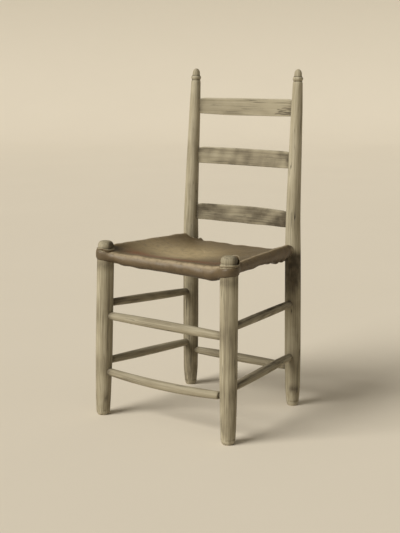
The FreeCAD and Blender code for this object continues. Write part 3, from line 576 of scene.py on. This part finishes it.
rail_wood = weathered_wood("rail_wood", (0.10, 0.075, 0.045, 1), (0.27, 0.225, 0.15, 1),
                           (0.42, 0.37, 0.27, 1))
rails = {
    "front": (front_point(LEFT, 0.427), front_point(RIGHT, 0.427), across_front, 0.0135),
    "rear": (rear_point(LEFT, 0.417), rear_point(RIGHT, 0.417), across_rear, 0.0125),
    "left": (front_point(LEFT, 0.442), rear_point(LEFT, 0.438), front_to_rear, 0.0125),
    "right": (front_point(RIGHT, 0.436), rear_point(RIGHT, 0.440), front_to_rear, 0.0125),
}
rail_tip = 0.009
rail_end_radius = 0.011
for number, (stem, (start, end, shoulders, middle)) in enumerate(rails.items()):
    rung(f"{stem}_seat_rail_shaved", start, end, shoulders, rail_tip, rail_end_radius,
         middle - 0.0002, rung_tenons, 0, 0.3, 150 + 10 * number, rail_wood)


# Slats. Three thin boards of the same wood were steamed, bent backwards and sprung into slots in
# the rear posts. The top one is pale, with splits near its right end, and the others are darker.

slat_wood = weathered_wood("slat_wood", (0.12, 0.095, 0.06, 1), (0.345, 0.302, 0.21, 1),
                           (0.53, 0.485, 0.37, 1), streak=0.55)
slat_post_radius = {"top": 0.0151, "middle": 0.0173, "lower": 0.0196}
slat_bottom = {"top": 0.7905, "middle": 0.6527, "lower": 0.4938}
slat_bow = {"top": 0.024, "middle": 0.024, "lower": 0.014}
slat_height = 0.0460
slat_thickness = 0.0065
slat_shoulder_height = 0.0448
slat_shoulder_length = 0.030
slot_depth = 0.011


def rear_slope(height):
    """How steeply a rear post leans back at a height."""
    return (rear_lean(height + 0.005) - rear_lean(height - 0.005)) / 0.010


def end_splits(x, z):
    """Four dark splits that run in from the right end of the top slat, low on its face."""
    total = 0
    for start, height, width in ((0.088, 0.006, 0.0011), (0.100, 0.011, 0.0012),
                                 (0.096, 0.0165, 0.0009), (0.112, 0.021, 0.0010)):
        line = near(z - height - 0.0008 * np.sin(x * 160 + start * 900), width)
        total = total + 0.9 * line * np.clip((x - start) / 0.006, 0, 1)
    return total


def slat(level, seed, dirt_level):
    """A rounded rectangle carried along an arc. Its upper edge rises and its lower one sags.

    Both edges follow a parabola, and the upper one draws in from the shoulders to the tips.
    """
    bottom = slat_bottom[level]
    middle = bottom + slat_height / 2
    reach = rear_point(RIGHT, middle)[0] - slat_post_radius[level] + slot_depth
    bow = slat_bow[level]
    radius = (reach ** 2 + bow ** 2) / (2 * bow)
    x = np.linspace(-reach, reach, 260)
    inner = reach - slat_shoulder_length
    past = np.clip(np.abs(x) - inner, 0, 1) / slat_shoulder_length
    top = slat_shoulder_height + np.where(np.abs(x) < inner, 0.0012 * (1 - (x / inner) ** 2),
                                          -0.0063 * past ** 1.5)
    low = -0.002 * (1 - (x / reach) ** 2)
    top = top + 0.0005 * ripple(seed, x * 25)
    low = low + 0.0006 * ripple(seed + 1, x * 22)
    back = bow - (radius - np.sqrt(radius ** 2 - x ** 2))
    lean_in = -x / np.sqrt(radius ** 2 - x ** 2)

    # The section: two flat faces, joined by rounded edges above and below.
    face = np.linspace(-0.95, 0.95, 27)
    corner = np.linspace(0.15, np.pi - 0.15, 9)
    edge = 0.95 + 0.05 * np.sin(corner)
    section_x = np.concatenate([np.ones(27), np.cos(corner), -np.ones(27), -np.cos(corner)])
    section_z = np.concatenate([face, edge, -face, -edge])
    depth, lengthways = np.meshgrid(section_x * slat_thickness / 2, x)
    share = (section_z[None, :] + 1) / 2
    local_z = low[:, None] + (top - low)[:, None] * share
    hollow = 0.0003 * ripple(seed + 3, lengthways * 30, local_z * 120)
    depth = depth + hollow
    local_x = lengthways + depth * (-lean_in[:, None])
    local_y = back[:, None] + depth
    lean = np.arctan(rear_slope(middle))
    y = local_y * np.cos(lean) + local_z * np.sin(lean)
    z = -local_y * np.sin(lean) + local_z * np.cos(lean)
    points = np.stack([local_x, rear_foot_y + rear_lean(bottom) + y, bottom + z], axis=-1)[:, ::-1]
    offset = np.random.default_rng(seed).uniform(0, 3, 3)
    grain = np.stack([depth * 0.5, local_z, lengthways], axis=-1)[:, ::-1] + offset

    patch = ripple(seed + 4, lengthways * 34, local_z * 70)
    cloudy = ripple(seed + 5, lengthways * 75, local_z * 45)
    at_ends = near(reach - 0.010 - np.abs(lengthways), 0.012)
    dirt_and_shade = np.clip(dirt_level * (0.50 + 0.30 * patch + 0.40 * cloudy), 0, 0.75) + 0.3 * at_ends
    if level == "top":
        dirt_and_shade = dirt_and_shade + end_splits(lengthways, local_z)
    rubbed = 0.9 * near(local_z - top[:, None], 0.004) + 0.12 * np.clip(cloudy, 0, 1)
    stain_and_shade = np.clip(dirt_level * (0.35 * cloudy), 0, 0.4)
    marks = np.clip(np.stack([dirt_and_shade, rubbed, stain_and_shade], axis=-1)[:, ::-1], 0, 1)

    piece = grid_mesh(f"{level}_slat_bent", points, wrap=True, first=points[0].mean(axis=0),
                      last=points[-1].mean(axis=0), extras={"grain": grain, "marks": marks})
    fit(piece, slat_wood, f"{level}_slat")


slat("top", 210, 0.06)
slat("middle", 220, 0.34)
slat("lower", 230, 0.66)


# Pegs. Two small round wooden pegs were driven from behind through the posts and the ends of the
# top slat, and trimmed off almost flush.

peg_wood = weathered_wood("peg_wood", (0.08, 0.06, 0.035, 1), (0.20, 0.165, 0.105, 1),
                          (0.34, 0.29, 0.20, 1))
peg_setback = 0.005
peg_reach = 0.007
for side in (LEFT, RIGHT):
    name = f"top_slat_peg_{SIDE_NAMES[side]}"
    middle = slat_bottom["top"] + slat_height / 2
    inset = slat_post_radius["top"] - slot_depth + peg_setback
    stand = np.sqrt(slat_post_radius["top"] ** 2 - inset ** 2) + 0.0006
    lean = np.arctan(rear_slope(middle))
    way = np.array([0, np.cos(lean), -np.sin(lean)])
    start = rear_point(side, middle) - (inset * side, peg_reach, 0)
    rows = np.linspace(0, peg_reach + stand, 14)
    radius = np.where(rows > rows[-1] - 0.0005, 0.0021, 0.0024)
    peg = turned_piece(f"{name}_trimmed", start + np.outer(rows, way), radius, 250 + side, columns=32,
                       uneven=0.02)
    fit(peg, peg_wood, name)


# Seat. One raw hide, about 0.55 m square, was wetted, stretched over the four rails and wrapped
# round their outer sides, with its front corners wrapped round the posts below their buttons. It
# dried hard, and its edges are laced together underneath.

hide_thickness = 0.0028
seat_front = 0.1784
seat_depth = 0.3479
half_front = 0.1956
half_narrowing = 0.0261
corner_places = np.array([(-0.1956, -0.1784), (0.1956, -0.1784), (0.1695, 0.1695), (-0.1695, 0.1695)])
collar_radius = 0.0257
rear_hole_radius = 0.0217


def raw_hide(name, pale=0.0):
    """Dried hide: pebbled, wrinkled, worn pale in the middle and dark towards its edges, with a
    painted highlight on the rolls' ridges and painted shade low on the rolls.

    The stored "zone" gives how far a point is from the middle (1 at a roll's ridge, 2 at its
    lower edge), how reddish it is (with painted shade) and how dirty it is. The next stored vector
    gives how worn the middle is, and where the ridges are rubbed paler and carry a painted highlight.
    Pale, and the stored "cut", show the raw skin.
    """
    finish = Finish(name)
    place = finish.place()
    out, red_and_shade, dirty = finish.parts(finish.attribute("zone"))
    rubbed, ridge, _ = finish.parts(finish.attribute("wear_and_highlight"))
    cut = finish.parts(finish.attribute("cut"))[0] * 0.85 + pale
    clouds = finish.noise(place, 9.0, detail=4.0, roughness=0.6)
    smears = finish.noise(place, (22, 46, 30), detail=4.0, roughness=0.65)
    mottle = finish.noise(place, 75.0, detail=4.0, roughness=0.6)
    pebbles = finish.cells(place, 330.0)
    pores = finish.noise(place, 900.0, detail=2.0)
    worn = rubbed * (clouds * 0.9 + 0.45)
    colour = finish.mix(clouds.step(0.3, 0.7), (0.086, 0.054, 0.020, 1), (0.124, 0.083, 0.033, 1))
    colour = finish.mix(worn, colour, (0.46, 0.36, 0.205, 1))
    # A band behind the front roll: reddish, and darkened as painted shade.
    colour = finish.mix(red_and_shade * smears.step(0.27, 0.52) * 0.9, colour, (0.180, 0.058, 0.022, 1))
    colour = finish.mix(smears.step(0.48, 0.70) * 0.3, colour, (0.235, 0.17, 0.085, 1))
    # The rolls are paler along their ridges, rubbed and with a painted highlight, and darker below
    # with painted shade.
    colour = finish.mix(out.step(1.02, 1.3) * 0.5, colour, (0.185, 0.130, 0.070, 1))
    colour = finish.mix(ridge * (mottle * 0.6 + 0.38), colour, (0.46, 0.370, 0.245, 1))
    colour = finish.mix(out.step(1.34, 1.84) * 0.78, colour, (0.045, 0.028, 0.013, 1))
    colour = finish.mix((1 - mottle.step(0.30, 0.5)) * 0.4, colour, (0.05, 0.034, 0.016, 1))
    colour = finish.mix(dirty * 0.7, colour, (0.045, 0.032, 0.015, 1))
    colour = finish.mix(cut, colour, (0.52, 0.44, 0.29, 1))
    creases = finish.noise(place, (60, 90, 60), detail=5.0, roughness=0.6)
    relief = pebbles * 0.30 + pores * 0.15 + creases * 1.4 + mottle * 0.5
    finish.set(Base_Color=colour, Roughness=0.40 + mottle * 0.22, Specular_IOR_Level=0.5,
               Normal=finish.bump(relief, 0.0011, 0.8))
    return finish.material


def rail_line(count):
    """A closed line over the rails, anticlockwise from front left, and its outward directions.

    It is the polygon through the corners, softened by a running mean and denser at its corners.
    """
    fine = np.concatenate([a + (b - a) * np.linspace(0, 1, 600, endpoint=False)[:, None]
                           for a, b in zip(corner_places, np.roll(corner_places, -1, axis=0))])
    window = near(np.linspace(-30, 30, 61), 15.0)
    window /= window.sum()
    for _ in range(2):
        wrapped = np.concatenate([fine[-30:], fine, fine[:30]])
        fine = np.stack([np.convolve(wrapped[:, k], window, mode="valid") for k in (0, 1)], axis=1)
    step = np.linalg.norm(np.roll(fine, -1, axis=0) - fine, axis=1)
    to_corner = np.linalg.norm(fine[:, None] - corner_places[None], axis=2).min(axis=1)
    weight = np.concatenate([[0], np.cumsum(step * (1 + 1.6 * near(to_corner, 0.045)))])
    closed = np.concatenate([fine, fine[:1]])
    place = np.linspace(0, weight[-1], count, endpoint=False)
    line = np.stack([np.interp(place, weight, closed[:, k]) for k in (0, 1)], axis=1)
    tangent = np.roll(line, -1, axis=0) - np.roll(line, 1, axis=0)
    tangent /= np.linalg.norm(tangent, axis=1)[:, None]
    return line, np.stack([tangent[:, 1], -tangent[:, 0]], axis=1)


def seat_shares(x, y):
    """Where a place lies between the left and right rails, and between the front and rear ones."""
    back = np.clip((y + seat_front) / seat_depth, 0, 1)
    half = half_front - half_narrowing * back
    return np.clip((x / half + 1) / 2, 0, 1), back


def seat_top(x, y):
    """Height of the hide's upper side. Each rail holds an edge up and the middle is dished.

    The middle line falls from the front edge into the dish and rises to the rear edge. Away from
    it the sheet climbs to the side edges as a power of the distance, steeper near the ends.
    """
    across, back = seat_shares(x, y)
    front = np.interp(across, (0, 0.12, 0.5, 0.88, 1), (0.4460, 0.4445, 0.4435, 0.4430, 0.4470))
    rear = np.interp(across, (0, 0.07, 0.10, 0.13, 0.5, 1),
                     (0.4335, 0.4335, 0.4395, 0.4332, 0.4310, 0.4325))
    left = np.interp(back, (0, 0.5, 1), (0.4590, 0.4562, 0.4525))
    right = np.interp(back, (0, 0.25, 0.5, 0.88, 0.94, 1),
                      (0.4500, 0.4520, 0.4535, 0.4550, 0.4505, 0.4440))
    roll_height = front * (1 - back) + rear * back
    spine = roll_height - (roll_height - 0.4300) * np.sin(np.pi * back) ** 0.9
    out = np.abs(2 * across - 1)
    climb = out ** (2.4 + 14 * (2 * back - 1) ** 6)
    return spine + (np.where(across < 0.5, left, right) - spine) * climb


# Round the seat: how far each place is along its own side, and which side that is.
columns = 480
line, outward = rail_line(columns)
across, back = seat_shares(line[:, 0], line[:, 1])
on_side = np.argmax(np.abs(outward), axis=1) == 0
at_right = on_side & (outward[:, 0] > 0)
at_left = on_side & (outward[:, 0] < 0)
at_front = ~on_side & (outward[:, 1] < 0)

# The lower edge of the roll on each side: level behind, dropping to the right in front, and
# ragged at the right, where the edge of the hide hangs out in five shallow tabs.
right_low = np.interp(back, (0, 0.08, 0.185, 0.30, 0.43, 0.585, 0.73, 0.83, 0.93, 1),
                      (0.421, 0.422, 0.4230, 0.4220, 0.4240, 0.4220, 0.4190, 0.4195, 0.422, 0.424))
for tab, drop in ((0.56, 0.0040), (0.64, 0.0015), (0.70, 0.0080), (0.79, 0.0080), (0.87, 0.0030)):
    right_low = right_low - drop * np.clip(1 - np.abs(back - tab) / 0.036, 0, 1) ** 0.7
front_low = np.interp(
    across, (0, 0.03, 0.09, 0.17, 0.30, 0.6, 0.80, 0.87, 0.905, 0.94, 1),
    (0.421, 0.4195, 0.4165, 0.4127, 0.4105, 0.4095, 0.4067, 0.4040, 0.4070, 0.4125, 0.421))
left_low = np.interp(back, (0, 0.1, 0.5, 0.9, 1), (0.420, 0.4235, 0.4215, 0.4215, 0.423))
rear_low = 0.4015 + 0.0008 * ripple(301, across * 30)
low_edge = np.select([at_right, at_left, at_front], [right_low, left_low, front_low], rear_low)
window = near(np.linspace(-2, 2, 5), 1.0)
window /= window.sum()
low_edge = np.convolve(np.concatenate([low_edge[-2:], low_edge, low_edge[:2]]), window, mode="valid")

# How far the hide stands out from the rails' line: a roll's half width, or round a front post.
roll_reach = np.where(at_front, 0.0166, 0.0157 - 0.0085 * np.clip((back - 0.82) / 0.16, 0, 1))
front_axes = np.stack([front_point(side, 0.436)[:2] for side in (LEFT, RIGHT)])
offsets = line[:, None] - front_axes[None]
along_out = (offsets * outward[:, None]).sum(axis=2)
sideways = (offsets ** 2).sum(axis=2) - along_out ** 2
wrap_reach = (np.sqrt(np.clip(collar_radius ** 2 - sideways, 0, None)) - along_out).max(axis=1)
wrap_reach = np.where(sideways.min(axis=1) < collar_radius ** 2, wrap_reach, 0)


def blurred(values, passes):
    """A running mean round the seat, passed over the values again and again."""
    for _ in range(passes):
        values = (np.roll(values, 1) + 2 * values + np.roll(values, -1)) / 4
    return values


reach = np.log(np.exp(roll_reach * 600) + np.exp(wrap_reach * 600)) / 600
round_post = blurred(np.clip((reach - roll_reach - 0.0010) / 0.004, 0, 1), 40)
reach = np.maximum(blurred(reach, 24), wrap_reach)

rings = 40
wraps = 34
flaps = 9
share = np.linspace(0.03, 1, rings) ** 0.92
plan = line[None] * share[:, None, None]
panel_z = seat_top(plan[..., 0], plan[..., 1])
panel = np.concatenate([plan, panel_z[..., None]], axis=2)

# The roll: half of a rounded oval, blunter where it wraps a post.
edge_z = panel_z[-1]
half_height = (edge_z - low_edge) / 2
turn = np.linspace(np.pi / 2, -np.pi / 2, wraps + 1)[1:, None]
blunt = 2 / (2 + 1.8 * round_post[None])
out = reach[None] * np.abs(np.cos(turn)) ** blunt
up = half_height[None] * np.sign(np.sin(turn)) * np.abs(np.sin(turn)) ** blunt
roll_plan = line[None] + outward[None] * out[..., None]
roll = np.concatenate([roll_plan, (edge_z - half_height + up)[..., None]], axis=2)

# The flap: it turns back inwards below the rail and lifts a little, and fades out at the posts.
to_post = np.linalg.norm(line[:, None] - corner_places[None], axis=2).min(axis=1)
flap_reach = 0.036 * np.clip((to_post - 0.030) / 0.045, 0, 1)
flap_reach = flap_reach * (1 + 0.10 * ripple(303, across * 30, back * 30))
inwards = np.linspace(0, 1, flaps + 1)[1:]
flap_plan = line[None] - outward[None] * (flap_reach[None] * inwards[:, None])[..., None]
flap_z = low_edge[None] + 0.002 * np.sin(inwards * 2.2)[:, None]
flap = np.concatenate([flap_plan, flap_z[..., None]], axis=2)

hide_points = np.concatenate([panel, roll, flap])
# The stretched ridge over each rail is soft: a few passes of a running mean along each line.
for _ in range(3):
    hide_points[6:-1] = (hide_points[5:-2] + 2 * hide_points[6:-1] + hide_points[7:]) / 4

# Creases and sags: broad unevenness, pulls that fan out from the front corners, and shallow
# wrinkles along the rolls.
down = np.roll(hide_points, -1, axis=0) - hide_points
down[-1] = down[-2]
beside = np.roll(hide_points, -1, axis=1) - np.roll(hide_points, 1, axis=1)
normal = np.cross(down, beside)
normal /= np.linalg.norm(normal, axis=2)[..., None] + 1e-12
x, y, z = hide_points[..., 0], hide_points[..., 1], hide_points[..., 2]
level = np.arange(len(hide_points))[:, None] / len(hide_points)
on_panel = np.clip((rings - np.arange(len(hide_points)))[:, None] / 12, 0, 1)
folds = 0.0009 * ripple(311, x * 28, y * 28) * on_panel
for side in (LEFT, RIGHT):
    corner = front_point(side, 0.44)
    far = np.hypot(x - corner[0], y - corner[1])
    bearing = np.arctan2(y - corner[1], (x - corner[0]) * -side)
    fan = np.sin(bearing * 11 + 1.3 * side + 0.8 * ripple(313 + side, x * 40, y * 40))
    folds = folds + 0.0011 * fan * np.clip((far - 0.022) / 0.02, 0, 1) * near(far, 0.085) * (level < 0.6)
around = np.arange(columns)[None] / columns
folds = folds + 0.0006 * ripple(317, around * 2 * np.pi * 26 + 0 * x, level * 14) * (1 - on_panel)
folds = folds * np.clip(to_post[None] / 0.04, 0.25, 1)
hide_points = hide_points + normal * folds[..., None]


def cut_round(points, axis_at, radius_at, buried):
    """Cuts a round hole for a post: points inside its circle that border others move onto it.

    Buried says which points lie inside any post, and is added to.
    """
    centre = axis_at(points[..., 2])[..., :2]
    offset = points[..., :2] - centre
    distance = np.linalg.norm(offset, axis=-1)
    radius = radius_at(points[..., 2])
    inside = distance < radius
    outward = offset / (distance[..., None] + 1e-9)
    points[..., :2] = np.where(inside[..., None], centre + outward * radius[..., None], points[..., :2])
    buried |= inside


buried = np.zeros(hide_points.shape[:2], bool)
for side in (LEFT, RIGHT):
    cut_round(hide_points, lambda z: front_point(side, z),
              lambda z: 0.0214 + 0.0015 * np.clip((0.4512 - z) / 0.0015, 0, 1), buried)
    cut_round(hide_points, lambda z: rear_point(side, z), lambda z: rear_hole_radius + 0 * z, buried)

# Where the finish changes: how far out, a band behind the front roll that is reddish and darkened
# with painted shade, dirty corners and collars, and a grubby right side.
x, y = hide_points[..., 0], hide_points[..., 1]
far_out = np.concatenate([share, 1 + np.arange(1, wraps + 1) / wraps, 2 + inwards])
far_out = far_out[:, None] + 0 * x
reddish_and_shade = near(y + 0.140, 0.024) * np.clip((0.175 - np.abs(x)) / 0.05, 0, 1) * (far_out < 1)
dirty = 0 * x
for side in (LEFT, RIGHT):
    corner = front_point(side, 0.44)
    dirty = dirty + 0.8 * near(np.hypot(x - corner[0], y - corner[1]) - 0.030, 0.034) * (far_out < 0.97)
dirty = dirty + 0.9 * near(np.hypot(x + 0.1355, y - 0.1700), 0.009)
dirty = dirty + 0.38 * round_post[None] * (far_out > 1)
dirty = dirty + 0.30 * np.clip((x - 0.02) / 0.12, 0, 1) * (far_out < 0.99)
zone = np.stack([far_out, reddish_and_shade, dirty], axis=-1)
worn = near(np.hypot((x + 0.045) / 1.2, y + 0.03), 0.085) + 0.3 * near(np.hypot(x + 0.035, y), 0.125)
# A band along each roll's ridge: rubbed paler, and a painted highlight.
middle, width = np.where(at_front, 1.18, 1.05), np.where(at_front, 0.12, 0.055)
ridge = near(far_out - blurred(middle, 30)[None], blurred(width, 30)[None])
wear_and_highlight = np.clip(np.stack([worn * (far_out < 1.02), ridge, 0 * x], axis=-1), 0, 1)
# The skin's edge shows where it stops at a rear post and below the front corners.
at_rear = np.min([np.hypot(x - rear_point(side, 0.44)[0], y - rear_point(side, 0.44)[1])
                  for side in (LEFT, RIGHT)], axis=0) - rear_hole_radius
cut = 0.9 * near(at_rear, 0.0016) * (far_out > 0.9) * (hide_points[..., 2] > 0.424)
cut = cut + 0.6 * np.clip((far_out - 1.92) / 0.05, 0, 1) * (far_out < 2.01) * round_post[None]
cut = np.clip(cut, 0, 1)[..., None] * np.ones(3)

# The grid is turned over, so that its faces look outwards. Cut edges show the pale raw skin.
hide_points, buried = hide_points[:, ::-1], buried[:, ::-1]
stored = {"zone": zone[:, ::-1], "wear_and_highlight": wear_and_highlight[:, ::-1], "cut": cut[:, ::-1]}
corner_buried = buried & np.roll(buried, -1, axis=1)
hide = grid_mesh("hide_seat_stretched", hide_points, wrap=True,
                 skip=corner_buried[:-1] & corner_buried[1:],
                 first=hide_points[0].mean(axis=0), extras=stored)
hide.data.materials.append(raw_hide("seat_leather"))
hide.data.materials.append(raw_hide("cut_edge", pale=0.6))
thicken = hide.modifiers.new("thickness", "SOLIDIFY")
thicken.thickness = hide_thickness
thicken.offset = -1
thicken.material_offset_rim = 1
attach(hide, "root")
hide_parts("hide_seat")


def turn_from(turn, middle):
    """The angle from a middle direction to another, between half a turn either way."""
    return (turn - middle + np.pi) % (2 * np.pi) - np.pi


# The cut edge curls up round each button, paler where the raw middle of the hide shows. At the
# left it is a low curl towards the seat, and at the right a lip that climbs the button's back.
for side, centre, spread, lift, stand_off in ((LEFT, -0.6, 1.0, 0.0034, -0.6),
                                              (RIGHT, 1.66, 1.08, 0.0200, 0.6)):
    name = f"hide_edge_{SIDE_NAMES[side]}"
    turn = np.linspace(0, 2 * np.pi, 120, endpoint=False)
    axis = front_point(side, 0.449)
    climb = lift * np.exp(-(turn_from(turn, centre) / spread) ** 4)
    curl_radius = 0.0226 + 0.0003 * ripple(331 + side, 3 * np.cos(turn), 3 * np.sin(turn))
    curl_radius = curl_radius + 0.0024 * near(turn_from(turn, stand_off), 0.8)
    x = axis[0] + curl_radius * np.cos(turn)
    y = axis[1] + curl_radius * np.sin(turn)
    base = np.clip(seat_top(x, y), 0.4455, 0.452) - 0.0006
    base = base + 0.0005 * ripple(341 + side, 3 * np.cos(turn), 3 * np.sin(turn))
    tall = 0.0016 + climb / 2
    section = np.linspace(0, 2 * np.pi, 24, endpoint=False)
    thin = 0.0012 * (1 + 0.25 * ripple(351 + side, 4 * np.cos(turn), 4 * np.sin(turn)))[:, None]
    off = thin * np.cos(section)[None]
    up = np.sign(np.sin(section)) * np.abs(np.sin(section)) ** 0.7
    points = np.stack([x[:, None] + off * np.cos(turn)[:, None],
                       y[:, None] + off * np.sin(turn)[:, None],
                       (base + climb / 2)[:, None] + tall[:, None] * up[None]], axis=-1)
    below_top = (base + climb / 2 + tall)[:, None] - points[..., 2]
    cut = 0.5 * np.clip(1.3 - below_top / 0.0014, 0, 1)[..., None] * np.ones(3)
    curl = grid_mesh(name, points[:, ::-1], wrap=True, loop=True,
                     extras={"cut": cut[:, ::-1], "zone": np.zeros(points.shape) + (1.4, 0, 0.2)})
    curl.data.materials.append(raw_hide(name))
    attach(curl, "root")


# Lacing. Two long thongs of the same rawhide zigzag below the seat, through slits in the hide's
# flaps: one from front to back, and one from side to side above it.

def thong_runs(name, runs, seed, replaced):
    """Strips of a rounded flat section, each along a line that sags, twists and ends in a slit.

    All of them are rows of one grid, with the cells between two strips left open.
    """
    share = np.linspace(0, 1, 56)
    section = np.linspace(0, 2 * np.pi, 20, endpoint=False)
    strips = []
    for number, (start, end) in enumerate(runs):
        way = end - start
        along = way / np.linalg.norm(way)
        path = start + way * share[:, None]
        path[:, 2] += 0.0045 * (near(share, 0.025) + near(1 - share, 0.025))
        path[:, 2] -= 0.0012 * np.sin(np.pi * share)
        level = np.cross(along, (0, 0, 1))
        level /= np.linalg.norm(level)
        twist = 0.20 * ripple(seed + number, share * 9) * np.sin(np.pi * share)
        flatwise = level * np.cos(twist)[:, None] + np.array((0, 0, 1)) * np.sin(twist)[:, None]
        upright = np.cross(flatwise, np.broadcast_to(along, flatwise.shape))
        size = np.clip(np.minimum(share, 1 - share) / 0.006, 0, 1)
        half = 0.0030 * (1 + 0.10 * ripple(seed + 40 + number, share * 14)) * size
        wide = half[:, None] * np.sign(np.cos(section)) * np.abs(np.cos(section)) ** 0.5
        thick = 0.0009 * size[:, None] * np.sign(np.sin(section)) * np.abs(np.sin(section)) ** 0.6
        strips.append(path[:, None] + flatwise[:, None] * wide[..., None]
                      + upright[:, None] * thick[..., None])
    points = np.concatenate(strips)
    skip = np.zeros((len(points) - 1, len(section)), bool)
    skip[len(share) - 1::len(share)] = True
    piece = grid_mesh(name, points, wrap=True, skip=skip)
    cleaner = bmesh.new()
    cleaner.from_mesh(piece.data)
    bmesh.ops.remove_doubles(cleaner, verts=cleaner.verts, dist=1e-6)
    bmesh.ops.recalc_face_normals(cleaner, faces=cleaner.faces)
    cleaner.to_mesh(piece.data)
    cleaner.free()
    fit(piece, rawhide, replaced)


def zigzag(first, second, inwards, count, low, high):
    """Starts and ends of a thong's runs, from one rail to the opposite one and back.

    Each stop lies below a rail and a little inwards of it, and each run stops short of its slits.
    """
    stops = []
    for number in range(count + 1):
        start, end, _, radius = rails[second if number % 2 else first]
        share = low + (high - low) * number / count
        below = start + (end - start) * share - (0, 0, radius + thong_drop)
        stops.append(below + np.array(inwards) * (-thong_inset if number % 2 else thong_inset))
    runs = []
    for here, there in zip(stops, stops[1:]):
        shift = (there - here) / np.linalg.norm(there - here) * slit_gap
        runs.append((here + shift, there - shift))
    return runs


rawhide = raw_hide("rawhide_lacing", pale=0.5)
thong_drop = 0.0052
thong_inset = 0.022
slit_gap = 0.0042
thong_runs("front_to_back_thong", zigzag("front", "rear", (0, 1, 0), 9, 0.16, 0.84), 400,
           "front_to_back_lacing")
thong_runs("side_to_side_thong", zigzag("left", "right", (1, 0, 0), 7, 0.2, 0.8), 500,
           "side_to_side_lacing")
